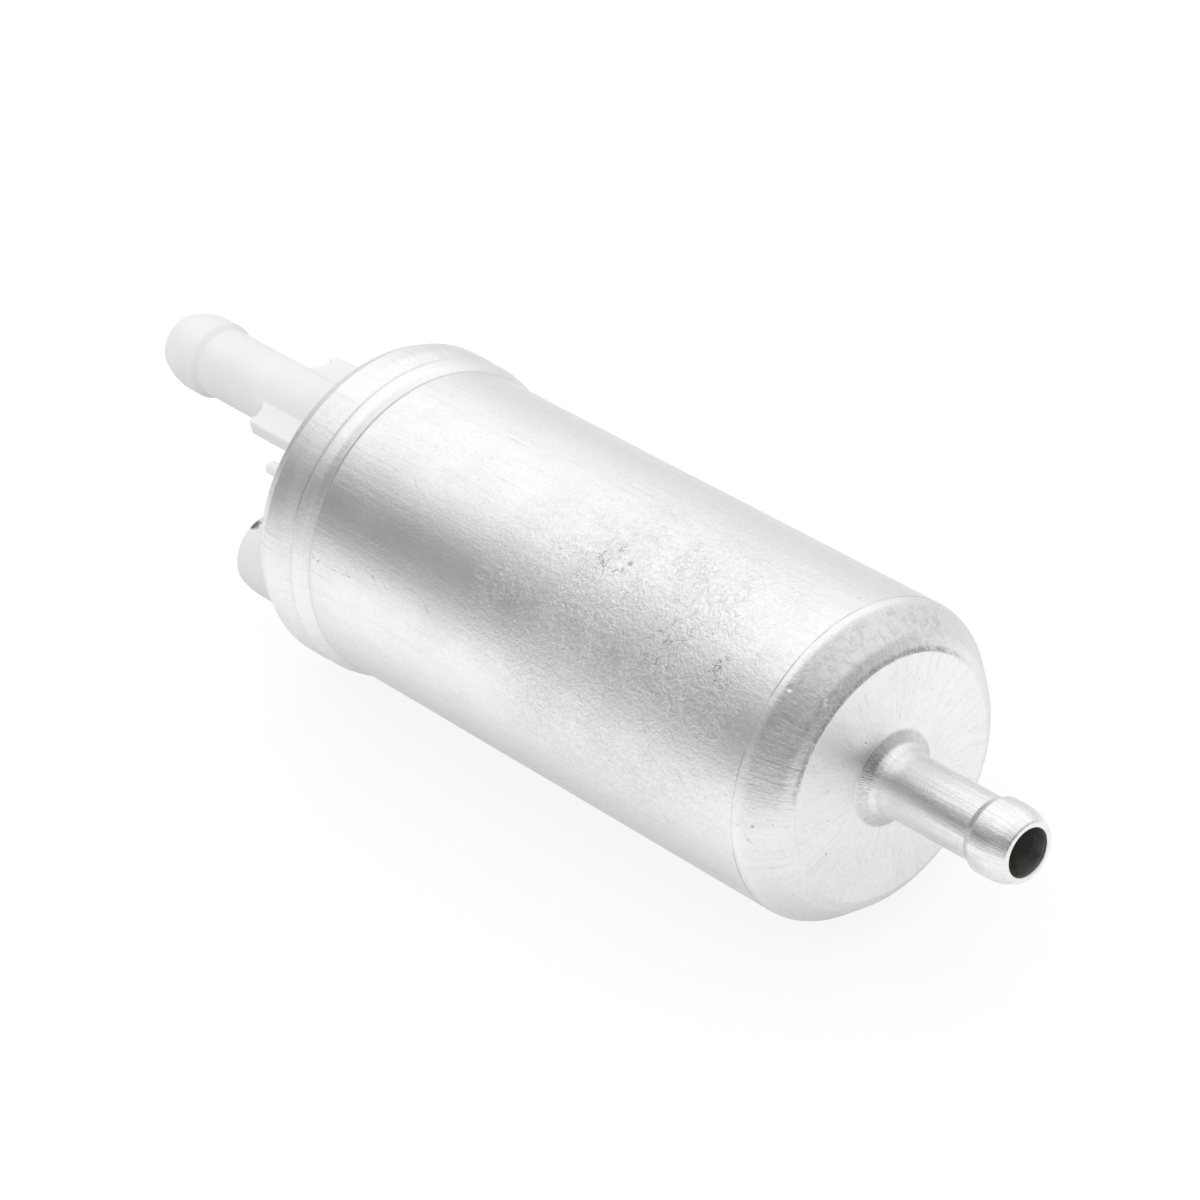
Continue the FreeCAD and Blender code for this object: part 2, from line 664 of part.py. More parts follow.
def make_gear_housing():
    """Housing ring with the offset bore that the gear ring runs in."""
    body = new_body("gear_housing")
    ring = Drawing(body, "YZ_Plane", "gear_housing_shape", gear_back).circle(0, 0, inner_fit)
    extrude(body, "gear_housing_disc", ring, dim.gear_width)
    bore = stack_holes(Drawing(body, "YZ_Plane", "gear_housing_bores", gear_back), dim.relief_bore)
    bore.circle(0, dim.gear_offset, gear_bore)
    cut_forward(body, "gear_housing_bored", bore, dim.gear_width)


def make_outlet_plate():
    """Outlet plate: pressure port, seat of the front bush and seat of the relief ball."""
    body = new_body("outlet_plate")
    thick = dim.outlet_plate_thick
    disc = Drawing(body, "YZ_Plane", "outlet_plate_shape", outlet_plate_back).circle(0, 0, inner_fit)
    extrude(body, "outlet_plate_disc", disc, thick)
    bores = stack_holes(Drawing(body, "YZ_Plane", "outlet_plate_bores", outlet_plate_back), dim.relief_hole)
    bores.circle(0, 0, shaft_hole + dim.shaft_play)
    cut_forward(body, "outlet_plate_drilled", bores, thick)
    port = kidney(body, "outlet_port_shape", outlet_plate_back, 1)
    cut_forward(body, "outlet_port", port, thick)
    bush = Drawing(body, "YZ_Plane", "front_bush_seat", outlet_plate_back)
    bush.circle(0, 0, dim.bush_radius + dim.bush_seat)
    cut_forward(body, "front_bush_seat_cut", bush, dim.thrust_play + dim.bush_length + dim.assembly_gap)
    chamber = Drawing(body, "YZ_Plane", "relief_chamber", outlet_plate_back + dim.relief_seat)
    chamber.circle(0, -relief_place, dim.relief_bore)
    cut_forward(body, "relief_chamber_cut", chamber, thick - dim.relief_seat)


def lobe_path(angle):
    """Path of a ring lobe's centre seen from the turning rotor: a circle with a smaller, faster one on it."""
    around = RING_LOBES * angle
    offset = dim.gear_offset.value
    circle = dim.lobe_circle.value
    return Vector(
        0,
        circle * math.cos(angle) - offset * math.cos(around),
        circle * math.sin(angle) - offset * math.sin(around),
    )


def rotor_point(angle):
    """Point of the rotor's flank: the lobe's path, stepped inwards by the lobe's radius and the play."""
    around = RING_LOBES * angle
    offset = dim.gear_offset.value * RING_LOBES
    circle = dim.lobe_circle.value
    along = Vector(
        0,
        -circle * math.sin(angle) + offset * math.sin(around),
        circle * math.cos(angle) - offset * math.cos(around),
    ).normalize()
    inward = Vector(0, -along.z, along.y)
    return lobe_path(angle) + inward * (dim.lobe_radius.value + dim.lobe_play.value)


def disc_solid(radius, back, length, y=0.0, z=0.0):
    """A plain disc across the pump."""
    return Part.makeCylinder(radius, length, Vector(back, y, z), Vector(1, 0, 0))


def make_gears():
    """Inner rotor with trochoid lobes on the shaft's flat, inside a gear ring that has one lobe more."""
    back = (gear_back + dim.gear_side_play).value
    length = (dim.gear_width - dim.gear_side_play * 2).value
    start = math.pi / 2
    count = ROTOR_LOBES * ROTOR_ARCS_PER_LOBE
    step = 2 * math.pi / count
    arcs = []
    for number in range(count):
        first = start + number * step
        through = [rotor_point(angle) for angle in (first, first + step / 2, first + step)]
        arcs.append(Part.Arc(*through).toShape())
    face = Part.Face(Part.Wire(arcs))
    face.translate(Vector(back, 0, 0))
    rotor = face.extrude(Vector(length, 0, 0))
    journal = (dim.shaft_radius + dim.fit_play).value
    hole = disc_solid(journal, back, length)
    flat = (dim.shaft_flat + dim.fit_play).value
    above_flat = Part.makeBox(length, 2 * journal, journal, Vector(back, -journal, flat))
    shaped("inner_rotor", rotor.cut(hole.cut(above_flat)))

    offset = dim.gear_offset.value
    circle = dim.lobe_circle.value
    lobe = dim.lobe_radius.value
    valley = circle + 2 * offset - lobe + dim.lobe_play.value
    outer = disc_solid(dim.ring_radius.value, back, length, 0, offset)
    cavity = disc_solid(valley, back, length, 0, offset)
    lobes = []
    for number in range(RING_LOBES):
        angle = start + 2 * math.pi * number / RING_LOBES
        place = (circle * math.cos(angle), circle * math.sin(angle) + offset)
        lobes.append(disc_solid(lobe, back, length, *place))
    shaped("gear_ring", outer.cut(cavity.cut(lobes[0].multiFuse(lobes[1:]))))


def make_stack_screws():
    """The two screws that clamp the pump stage together."""
    under_head = plate_front.value - (dim.screw_head_length + dim.screw_clearance / 2).value
    tip = (outlet_plate_back + dim.screw_short).value
    screws = []
    for side in (1, -1):
        y = side * screw_circle.value
        shank = disc_solid(dim.screw_radius.value, tip, under_head - tip, y)
        head = disc_solid(dim.screw_head.value, under_head, dim.screw_head_length.value, y)
        socket = disc_solid(dim.screw_radius.value, under_head + dim.screw_head_length.value / 2,
                            dim.screw_head_length.value, y)
        screws.append(shank.fuse(head).cut(socket))
    shaped("stack_screws", Part.makeCompound(screws))


make_inlet_plate()
make_gear_housing()
make_outlet_plate()
make_gears()
make_stack_screws()

# Relief valve: ball, spring and plug in the bore below the gears


def coil(label, radius, wire, turns, length, direction, start):
    """A compression spring: one square wire wound as a helix along a direction."""
    pitch = (length - 2 * wire) / turns
    helix = Part.makeHelix(pitch, pitch * turns, radius)
    corners = [Vector(radius + wire * x, 0, wire * z) for x, z in ((-1, -1), (1, -1), (1, 1), (-1, 1))]
    section = Part.makePolygon(corners + corners[:1])
    spring = Part.Wire(helix).makePipeShell([section], True, True)
    place = Placement(start + direction * wire, Rotation(Vector(0, 0, 1), direction))
    return shaped(label, spring, place)


ball_seat_gap = dim.relief_ball - root(dim.relief_ball * dim.relief_ball - dim.relief_hole * dim.relief_hole)
ball_middle = outlet_plate_back + dim.relief_seat + dim.relief_ball - ball_seat_gap + dim.assembly_gap / 2
relief_plug_back = plate_front - dim.relief_plug_length


def make_relief_valve():
    """Ball on its seat, the spring behind it and the plug that holds the spring."""
    low = -relief_place.value
    shaped("relief_ball", Part.makeSphere(dim.relief_ball.value, Vector(ball_middle.value, 0, low)))
    behind_ball = (ball_middle + dim.relief_ball + dim.assembly_gap).value
    room = relief_plug_back.value - behind_ball - dim.assembly_gap.value
    coil("relief_spring", dim.relief_coil.value, dim.relief_wire.value, dim.relief_turns.value, room,
         Vector(1, 0, 0), Vector(behind_ball, 0, low))
    body = new_body("relief_plug")
    plug = Drawing(body, "YZ_Plane", "relief_plug_shape", relief_plug_back)
    plug.circle(0, -relief_place, dim.relief_bore - dim.assembly_gap)
    plug.circle(0, -relief_place, dim.relief_hole)
    extrude(body, "relief_plug_ring", plug, dim.relief_plug_length)


make_relief_valve()

# Motor field: flux ring, two magnets and the two clips that press them apart


def arc_segment(body, name, lift, inner, outer, half_angle, up):
    """Section of an arc-shaped piece about the Z axis, above or below the shaft."""
    rise = cosine(half_angle)
    run = sine(half_angle)
    return Drawing(body, "YZ_Plane", name, lift).outline([
        (run * outer * up, rise * outer * up),
        (-run * outer * up, rise * outer * up, outer, 1),
        (-run * inner * up, rise * inner * up),
        (run * inner * up, rise * inner * up, inner, -1),
    ])


def make_field():
    """Steel ring that carries the flux, with the magnets glued and clipped into it."""
    tube("flux_ring", flux_back, flux_front, inner_fit, inner_fit - dim.flux_wall)
    for label, up in (("magnet_upper", 1), ("magnet_lower", -1)):
        body = new_body(label)
        section = arc_segment(body, label + "_shape", magnet_back, magnet_inner, magnet_outer,
                              dim.magnet_angle, up)
        extrude(body, label + "_block", section, magnet_front - magnet_back)
    for label, side in (("magnet_clip_left", 1), ("magnet_clip_right", -1)):
        body = new_body(label)
        outer = magnet_outer
        inner = outer - dim.clip_thick
        rise = sine(dim.clip_angle)
        run = cosine(dim.clip_angle)
        strip = Drawing(body, "YZ_Plane", label + "_shape", magnet_back + dim.magnet_margin).outline([
            (run * outer * side, rise * outer, outer, side),
            (run * (outer - dim.clip_leg) * side, rise * (outer - dim.clip_leg)),
            (run * (outer - dim.clip_leg) * side, rise * (outer - dim.clip_leg) - dim.clip_thick),
            (run * inner * side, rise * inner - dim.clip_thick),
            (run * inner * side, dim.clip_thick - rise * inner, inner, -side),
            (run * (outer - dim.clip_leg) * side, dim.clip_thick - rise * (outer - dim.clip_leg)),
            (run * (outer - dim.clip_leg) * side, -rise * (outer - dim.clip_leg)),
            (run * outer * side, -rise * outer),
        ])
        extrude(body, label + "_strip", strip, magnet_front - magnet_back - dim.magnet_margin * 2)


make_field()

# Armature: shaft, laminations, windings, commutator and thrust washers, turning as one with the rotor


def make_shaft():
    """Ground steel shaft from the rear bush to the inlet plate, with a flat that drives the rotor."""
    body = new_body("armature_shaft")
    back = rear_bush_back - dim.assembly_gap
    front = inlet_plate_back + dim.inlet_plate_thick / 2 - dim.thrust_play
    bevel = dim.shaft_bevel
    profile = Drawing(body, "XZ_Plane", "shaft_profile").outline([
        (back, 0),
        (front, 0),
        (front, dim.shaft_radius - bevel),
        (front - bevel, dim.shaft_radius),
        (back + bevel, dim.shaft_radius),
        (back, dim.shaft_radius - bevel),
    ])
    revolve(body, "shaft_turned", profile)
    flat = Drawing(body, "YZ_Plane", "shaft_flat_shape", gear_back)
    flat.box(-dim.shaft_radius, dim.shaft_flat, dim.shaft_radius, dim.shaft_radius * 2)
    cut_forward(body, "shaft_flat", flat, front - gear_back)


def slot_outline(drawing, gap, floor, lid):
    """Closed armature slot seen along the shaft, above the axis."""
    wide = dim.slot_half - gap
    narrow = wide / 2
    return drawing.outline([
        (-narrow, floor),
        (narrow, floor),
        (wide, floor + narrow),
        (wide, lid - narrow),
        (narrow, lid),
        (-narrow, lid),
        (-wide, lid - narrow),
        (-wide, floor + narrow),
    ])


def make_laminations():
    """Pack of slotted iron laminations."""
    body = new_body("laminations")
    disc = Drawing(body, "YZ_Plane", "lamination_shape", stack_back)
    disc.circle(0, 0, stack_radius)
    disc.circle(0, 0, dim.shaft_radius + dim.fit_play)
    extrude(body, "lamination_pack", disc, stack_length)
    slot = slot_outline(Drawing(body, "YZ_Plane", "slot_shape", stack_back), 0, dim.slot_floor, slot_lid)
    pocket = cut_forward(body, "slot", slot, stack_length)
    mouth = Drawing(body, "YZ_Plane", "slot_mouth_shape", stack_back)
    mouth.box(-dim.slot_mouth, slot_lid - dim.slot_mouth, dim.slot_mouth, stack_radius + dim.slot_mouth)
    opening = cut_forward(body, "slot_mouth", mouth, stack_length)
    polar(body, "slots", [pocket, opening], dim.slot_count)


def make_windings():
    """Varnished copper: bars in the slots, joined by the rounded end turns at both ends."""
    body = new_body("windings")
    gap = dim.winding_gap
    inner = dim.shaft_radius + dim.fit_play + dim.winding_gap
    outer = slot_lid - gap
    turn = dim.winding_bevel
    for name, near, far, way in (
        ("front_turns", stack_front + gap, stack_front + dim.winding_overhang, 1),
        ("rear_turns", stack_back - gap, stack_back - dim.winding_overhang, -1),
    ):
        heap = Drawing(body, "XZ_Plane", name + "_profile").outline([
            (near, inner),
            (near, outer),
            (far - turn * way, outer),
            (far, outer - turn),
            (far, inner + turn),
            (far - turn * way, inner),
        ])
        revolve(body, name, heap)
    bar = slot_outline(Drawing(body, "YZ_Plane", "slot_bar_shape", stack_back - gap * 2), gap,
                       dim.slot_floor + gap, slot_lid - gap)
    filled = extrude(body, "slot_bar", bar, stack_length + gap * 4)
    polar(body, "slot_bars", [filled], dim.slot_count)


def make_commutator():
    """Moulded hub on the shaft with copper bars round it; each bar has a riser for its wire."""
    tube("commutator_hub", hub_back, bars_front + dim.riser_length, dim.commutator_hub,
         dim.shaft_radius + dim.fit_play)
    inner = (dim.commutator_hub + dim.assembly_gap).value
    back = bars_back.value
    length = dim.commutator_length.value
    count = int(dim.slot_count.value)
    ring = disc_solid(dim.commutator_radius.value, back, length)
    riser = disc_solid(dim.riser_radius.value, back + length, dim.riser_length.value)
    core = disc_solid(inner, back, length + dim.riser_length.value)
    copper = ring.fuse(riser).cut(core).removeSplitter()
    gap = dim.commutator_slot.value
    reach = dim.riser_radius.value
    slit = Part.makeBox(length + dim.riser_length.value, 2 * gap, reach, Vector(back, -gap, 0))
    slits = []
    for number in range(count):
        turned = slit.copy()
        turned.rotate(Vector(0, 0, 0), Vector(1, 0, 0), 360 * (number + 0.5) / count)
        slits.append(turned)
    shaped("commutator_bars", copper.cut(slits))


def make_thrust_washers():
    """Hard plastic washers that take the armature's end thrust at each bush."""
    inner = dim.shaft_radius + dim.fit_play
    tube("thrust_washer_rear", rear_thrust_back, rear_thrust_back + dim.thrust_thick,
         dim.thrust_radius, inner)
    tube("thrust_washer_front", front_thrust_front - dim.thrust_thick, front_thrust_front,
         dim.thrust_radius, inner)


make_shaft()
make_laminations()
make_windings()
make_commutator()
make_thrust_washers()
tube("bush_rear", rear_bush_back, rear_bush_front, dim.bush_radius, shaft_hole)
tube("bush_front", front_bush_back, front_bush_back + dim.bush_length, dim.bush_radius, shaft_hole)

# Brush gear: moulded holder, two carbon brushes, their springs and their copper leads

brush_middle = bars_back + dim.commutator_length / 2
brush_inner = dim.commutator_radius + dim.brush_touch
brush_outer = brush_inner + dim.brush_length
lead_start = brush_middle - dim.brush_width / 2
lead_run = lead_start - dim.lead_bend


def make_brush_holder():
    """Moulded ring with two brush boxes, wire slots in its rear face and a passage for the fuel."""
    body = new_body("brush_holder")
    ring = Drawing(body, "YZ_Plane", "holder_shape", holder_back)
    ring.circle(0, 0, inner_fit)
    ring.circle(0, 0, dim.holder_bore)
    extrude(body, "holder_ring", ring, dim.holder_length)
    half_width = dim.brush_width / 2 + dim.brush_play
    half_height = dim.brush_height / 2 + dim.brush_play
    boxes = Drawing(body, "XZ_Plane", "brush_box_shape")
    boxes.box(brush_middle - half_width, -half_height, brush_middle + half_width, half_height)
    extrude(body, "brush_boxes", boxes, brush_box * 2, "Pocket", both=True)
    passage = Drawing(body, "YZ_Plane", "holder_passage_shape", holder_back)
    passage.circle(0, dim.outlet_offset, dim.outlet_bore)
    cut_forward(body, "holder_passage", passage, dim.holder_length)
    slot_depth = lead_start - holder_back
    near = dim.blade_side - dim.lead_radius * 2
    far = dim.blade_side + dim.lead_radius * 2
    bottom = -(dim.blade_height + dim.blade_width / 2 + dim.brush_play)
    for name, left, right in (("slot_left", near, far), ("slot_right", -far, -near)):
        slot = Drawing(body, "YZ_Plane", name + "_shape", holder_back)
        slot.box(left, bottom, right, dim.lead_radius * 2)
        cut_forward(body, name, slot, slot_depth)


def make_brush(label, side):
    """Carbon brush in its box: hollow face on the commutator, flat back under the spring."""
    body = new_body(label)
    half_width = dim.brush_width / 2
    half_height = dim.brush_height / 2
    side_x = root(brush_inner * brush_inner - half_height * half_height)
    block = Drawing(body, "YZ_Plane", label + "_shape", brush_middle - half_width).outline([
        (side_x * side, -half_height, brush_inner, -side),
        (brush_outer * side, -half_height),
        (brush_outer * side, half_height),
        (side_x * side, half_height),
    ])
    extrude(body, label + "_block", block, dim.brush_width)


def make_brush_spring(label, side):
    """Coil spring from the brush's back to the end of its box."""
    gap = dim.assembly_gap.value
    room = (brush_box - brush_outer).value - 2 * gap
    coil(label, dim.brush_coil.value, dim.brush_wire.value, dim.brush_turns.value, room,
         Vector(0, side, 0), Vector(brush_middle.value, side * (brush_outer.value + gap), 0))


def make_brush_lead(label, side):
    """Copper lead from the brush's rear side, bent down to the terminal's inner end."""
    y = side * dim.blade_side.value
    bend = dim.lead_bend.value
    start = lead_start.value - dim.assembly_gap.value / 2
    turned = start - bend
    low = -(dim.blade_height - dim.blade_width / 2).value + dim.assembly_gap.value
    diagonal = bend * math.sqrt(0.5)
    run_in = Vector(start, y, 0)
    arc_middle = Vector(start - diagonal, y, -bend + diagonal)
    run_out = Vector(turned, y, -bend)
    path = Part.Wire([
        Part.Arc(run_in, arc_middle, run_out).toShape(),
        Part.LineSegment(run_out, Vector(turned, y, low)).toShape(),
    ])
    section = Part.Wire(Part.Circle(run_in, Vector(1, 0, 0), dim.lead_radius.value).toShape())
    shaped(label, path.makePipeShell([section], True, False))


make_brush_holder()
for word, way in (("left", 1), ("right", -1)):
    make_brush("brush_" + word, way)
    make_brush_spring("brush_spring_" + word, way)
    make_brush_lead("brush_lead_" + word, way)

# End cover: white moulding with the outlet nipple, its winged foot and the half-round plug socket

seal_outer = can_bore - dim.assembly_gap
seal_inner = seal_outer - dim.seal_thick
groove_front = cover_inner - dim.seal_land
groove_back = groove_front - dim.seal_width - dim.seal_side * 2
valve_chamber_end = cover_inner - dim.valve_depth
cover_face = rim_end + dim.can_wall + dim.assembly_gap


def socket_shape(drawing, shrink):
    """Half-round outline of the plug socket, concentric with the can, drawn smaller by a wall."""
    outer = rim_mouth - dim.socket_inset - shrink
    top = dim.socket_top - shrink
    corner = dim.socket_corner - shrink
    height = top - corner
    middle = outer - corner
    side = root(middle * middle - height * height)
    reach = outer / middle
    return drawing.outline([
        (-side, top),
        (-side * reach, height * reach, corner, 1),
        (side * reach, height * reach, outer, 1),
        (side, top, corner, 1),
    ])


def make_end_cover():
    """End cover: sealed spigot, crimped flange, outlet nipple on its winged foot, socket and pip."""
    body = new_body("end_cover")
    flange = rim_bore - dim.cover_clearance
    valley = flange - dim.rim_groove_depth
    flange_front = rim_start - dim.rim_groove_place - dim.rim_groove_half
    bevel = dim.rim_lip_round - dim.can_wall + dim.cover_clearance
    spigot = inner_fit - dim.cover_clearance
    disc = Drawing(body, "XZ_Plane", "cover_profile").outline([
        (cover_inner, 0),
        (cover_inner, spigot),
        (groove_front, spigot),
        (groove_front, seal_inner - dim.assembly_gap),
        (groove_back, seal_inner - dim.assembly_gap),
        (groove_back, spigot),
        (rim_start, spigot),
        (rim_start - dim.rim_flare, valley),
        (flange_front, valley),
        (flange_front, flange),
        (cover_face + bevel, flange),
        (cover_face, flange - bevel),
        (cover_face, rim_mouth - dim.cover_clearance),
        (rim_end, rim_mouth - dim.cover_clearance),
        (rim_end, 0),
    ])
    revolve(body, "cover_disc", disc)

    bead_back = outlet_end + dim.outlet_bead_length
    crest_back = bead_back - dim.outlet_bead_step
    crest_front = crest_back - dim.outlet_land
    base = dim.outlet_offset
    nipple = Drawing(body, "XZ_Plane", "nipple_profile").axis(base).outline([
        (rim_end, base),
        (rim_end, base + dim.outlet_tube),
        (bead_back, base + dim.outlet_tube),
        (crest_back, base + dim.outlet_bead),
        (crest_front, base + dim.outlet_bead),
        (outlet_end + dim.outlet_nose_round, base + dim.outlet_nose, dim.outlet_barrel_round, 1),
        (outlet_end, base + dim.outlet_nose - dim.outlet_nose_round, dim.outlet_nose_round, 1),
        (outlet_end, base),
    ])
    revolve(body, "outlet_nipple", nipple, axis="Axis0")

    plate_end = rim_end - dim.wing_length
    blend_end = plate_end - dim.wing_blend
    neck = dim.wing_half - dim.wing_blend
    plate = Drawing(body, "XY_Plane", "wing_shape", dim.wing_top - dim.wing_thick).outline([
        (rim_end, -dim.wing_half),
        (rim_end, dim.wing_half),
        (plate_end, dim.wing_half),
        (blend_end, neck, dim.wing_blend, -1),
        (blend_end, -neck),
        (plate_end, -dim.wing_half, dim.wing_blend, -1),
    ])
    extrude(body, "wing_plate", plate, dim.wing_thick)

    shroud = socket_shape(Drawing(body, "YZ_Plane", "socket_outer_shape", rim_end), Size(0.0, "0.0"))
    extrude(body, "socket", shroud, dim.socket_length, back=True)
    hollow = socket_shape(Drawing(body, "YZ_Plane", "socket_inner_shape", socket_floor), dim.socket_wall)
    cut_backward(body, "socket_hollow", hollow, dim.socket_depth)
    pip = Drawing(body, "YZ_Plane", "pip_shape", rim_end)
    pip.circle(-dim.pip_side, dim.pip_height, dim.pip_radius)
    extrude(body, "pip", pip, dim.pip_length, back=True)

    passage = Drawing(body, "YZ_Plane", "outlet_passage_shape", cover_inner).circle(0, base, dim.outlet_bore)
    cut_backward(body, "outlet_passage", passage, cover_inner - outlet_end)
    chamber = Drawing(body, "YZ_Plane", "valve_chamber_shape", cover_inner).circle(0, base, dim.valve_bore)
    cut_backward(body, "valve_chamber", chamber, dim.valve_depth)
    seat = Drawing(body, "YZ_Plane", "rear_bush_seat", cover_inner)
    seat.circle(0, 0, dim.bush_radius + dim.bush_seat)
    cut_backward(body, "rear_bush_pocket", seat, cover_inner - rear_bush_back + dim.assembly_gap)
    half_thick = dim.blade_thick / 2 + dim.blade_slot
    half_wide = dim.blade_width / 2 + dim.blade_slot
    for name, side in (("blade_slot_left", 1), ("blade_slot_right", -1)):
        slot = Drawing(body, "YZ_Plane", name + "_shape", cover_inner)
        middle = dim.blade_side * side
        slot.box(middle - half_thick, -dim.blade_height - half_wide,
                 middle + half_thick, half_wide - dim.blade_height)
        cut_backward(body, name, slot, cover_inner - socket_floor)


def make_terminal(label, side):
    """Brass blade moulded through the cover, bevelled at its tip, with a hole for the plug's latch."""
    body = new_body(label)
    tip = socket_floor - dim.blade_reach
    tail = cover_inner + dim.blade_tail
    low = -dim.blade_height - dim.blade_width / 2
    high = dim.blade_width / 2 - dim.blade_height
    lift = -dim.blade_side * side - dim.blade_thick / 2
    blade = Drawing(body, "XZ_Plane", label + "_shape", lift).outline([
        (tip, low + dim.blade_tip),
        (tip + dim.blade_tip, low),
        (tail, low),
        (tail, high),
        (tip + dim.blade_tip, high),
        (tip, high - dim.blade_tip),
    ])
    blade.circle(tip + dim.blade_hole_place, -dim.blade_height, dim.blade_hole)
    extrude(body, label + "_blade", blade, dim.blade_thick)


def make_outlet_valve():
    """Seat ring in the cover, the poppet that closes it and the poppet's spring."""
    base = dim.outlet_offset
    seat_back = cover_inner - dim.valve_seat_length
    head_front = seat_back - dim.assembly_gap
    head_back = head_front - dim.valve_head_length
    seat = new_body("outlet_valve_seat")
    ring = Drawing(seat, "YZ_Plane", "valve_seat_shape", seat_back)
    ring.circle(0, base, dim.valve_bore - dim.assembly_gap)
    ring.circle(0, base, dim.valve_seat_hole)
    extrude(seat, "valve_seat_ring", ring, dim.valve_seat_length)
    poppet = new_body("outlet_valve_poppet")
    profile = Drawing(poppet, "XZ_Plane", "poppet_profile").axis(base).outline([
        (head_front, base),
        (head_front, base + dim.valve_seat_hole),
        (head_front - dim.valve_head_length / 2, base + dim.valve_head),
        (head_back, base + dim.valve_head),
        (head_back, base + dim.valve_stem),
        (head_back - dim.valve_stem_length, base + dim.valve_stem),
        (head_back - dim.valve_stem_length, base),
    ])
    revolve(poppet, "poppet_turned", profile, axis="Axis0")
    room = head_back - valve_chamber_end - dim.assembly_gap * 2
    coil("outlet_valve_spring", dim.valve_coil.value, dim.valve_wire.value, dim.valve_turns.value,
         room.value, Vector(-1, 0, 0), Vector((head_back - dim.assembly_gap).value, 0, base.value))


def make_cover_seal():
    """Square-cut rubber ring in the cover's groove, against the can's bore."""
    tube("cover_seal", groove_back + dim.seal_side, groove_front - dim.seal_side, seal_outer, seal_inner)


make_end_cover()
make_cover_seal()
make_outlet_valve()
for word, way in (("left", 1), ("right", -1)):
    make_terminal("terminal_" + word, way)

# Checks, then one file for each sub-part

doc.recompute()
failed = [item.Name for item in doc.Objects if {"Invalid", "Error"} & set(item.State)]
if failed:
    raise RuntimeError(f"not built: {failed}")
for item in doc.Objects:
    if item.TypeId == "PartDesign::Pocket" and item.BaseFeature.Shape.Volume - item.Shape.Volume < 1e-4:
        raise RuntimeError(f"{item.Name} cuts nothing")
os.makedirs("parts", exist_ok=True)
for piece in PARTS:
    if piece.Shape.isNull() or not piece.Shape.isValid():
        raise RuntimeError(f"{piece.Label} has no valid shape")
    piece.Shape.exportStep(os.path.join("parts", piece.Label + ".step"))
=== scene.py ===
import math

import bmesh
import bpy
import numpy as np
from mathutils import Matrix, Vector


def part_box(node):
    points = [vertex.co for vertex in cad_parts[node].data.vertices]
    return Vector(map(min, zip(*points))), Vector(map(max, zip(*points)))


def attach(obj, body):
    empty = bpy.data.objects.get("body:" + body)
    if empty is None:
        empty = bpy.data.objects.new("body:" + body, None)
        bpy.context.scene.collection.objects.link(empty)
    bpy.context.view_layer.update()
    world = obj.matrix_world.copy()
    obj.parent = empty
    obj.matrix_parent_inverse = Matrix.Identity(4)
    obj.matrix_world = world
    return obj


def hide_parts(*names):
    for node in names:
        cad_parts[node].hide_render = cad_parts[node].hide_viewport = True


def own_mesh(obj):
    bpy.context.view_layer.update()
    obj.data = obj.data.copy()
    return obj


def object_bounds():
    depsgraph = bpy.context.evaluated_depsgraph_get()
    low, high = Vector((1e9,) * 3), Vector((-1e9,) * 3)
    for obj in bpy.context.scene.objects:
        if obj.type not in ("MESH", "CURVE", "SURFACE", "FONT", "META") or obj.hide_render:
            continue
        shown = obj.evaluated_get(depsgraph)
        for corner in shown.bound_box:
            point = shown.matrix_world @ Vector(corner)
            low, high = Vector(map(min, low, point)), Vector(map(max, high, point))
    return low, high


# In-line electric fuel pump: a bare drawn aluminium can with its inlet nipple, crimped over a white
# moulded cover with the outlet nipple and the plug socket. X runs along the pump's axis towards the
# inlet, Z up through the outlet nipple. The pump's sizes are in millimetres, the studio's in metres.

MM = 0.001
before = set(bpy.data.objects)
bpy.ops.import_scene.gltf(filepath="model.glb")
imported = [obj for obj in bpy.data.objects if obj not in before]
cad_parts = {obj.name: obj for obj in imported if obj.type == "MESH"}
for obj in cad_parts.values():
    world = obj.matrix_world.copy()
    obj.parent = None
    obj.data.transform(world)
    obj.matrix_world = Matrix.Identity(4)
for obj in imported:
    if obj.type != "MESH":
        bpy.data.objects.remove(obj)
scene = bpy.context.scene
cad_low, cad_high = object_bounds()

# Camera: the photograph looks down on the inlet end through a long lens, with the pump rolled a little
# about its own axis. Here the pump stays upright, and the camera is rolled about that axis instead.

photo_side = 1200
focal_pixels = 5026.2
sensor_width = 36.0
pump_roll = math.radians(15.66)
view_turn = math.radians(47.936)
view_height = math.radians(29.781)
camera_place = Vector((360.5, -331.21, 285.0)) * MM

camera = bpy.data.objects.new("camera", bpy.data.cameras.new("camera"))
camera.data.sensor_width = sensor_width
camera.data.lens = focal_pixels / photo_side * sensor_width
camera.data.clip_start = 0.01
camera.data.clip_end = 20.0
to_right = Vector((math.cos(view_turn), math.sin(view_turn), 0.0))
to_back = Vector((math.sin(view_turn) * math.cos(view_height),
                  -math.cos(view_turn) * math.cos(view_height), math.sin(view_height)))
axes = Matrix((to_right, to_back.cross(to_right), to_back)).transposed().to_4x4()
camera.matrix_world = Matrix.Rotation(-pump_roll, 4, "X") @ Matrix.Translation(camera_place) @ axes
scene.collection.objects.link(camera)
scene.camera = camera
scene.view_settings.view_transform = "Standard"

# Studio: a white floor just under the rim, in a soft light tent. The tent is open towards the camera:
# seen from the pump, a dim strip runs round that side, and the can mirrors it as a band along its length.
# Each fall is a smooth step: where it starts and ends, and the light or its share at both.

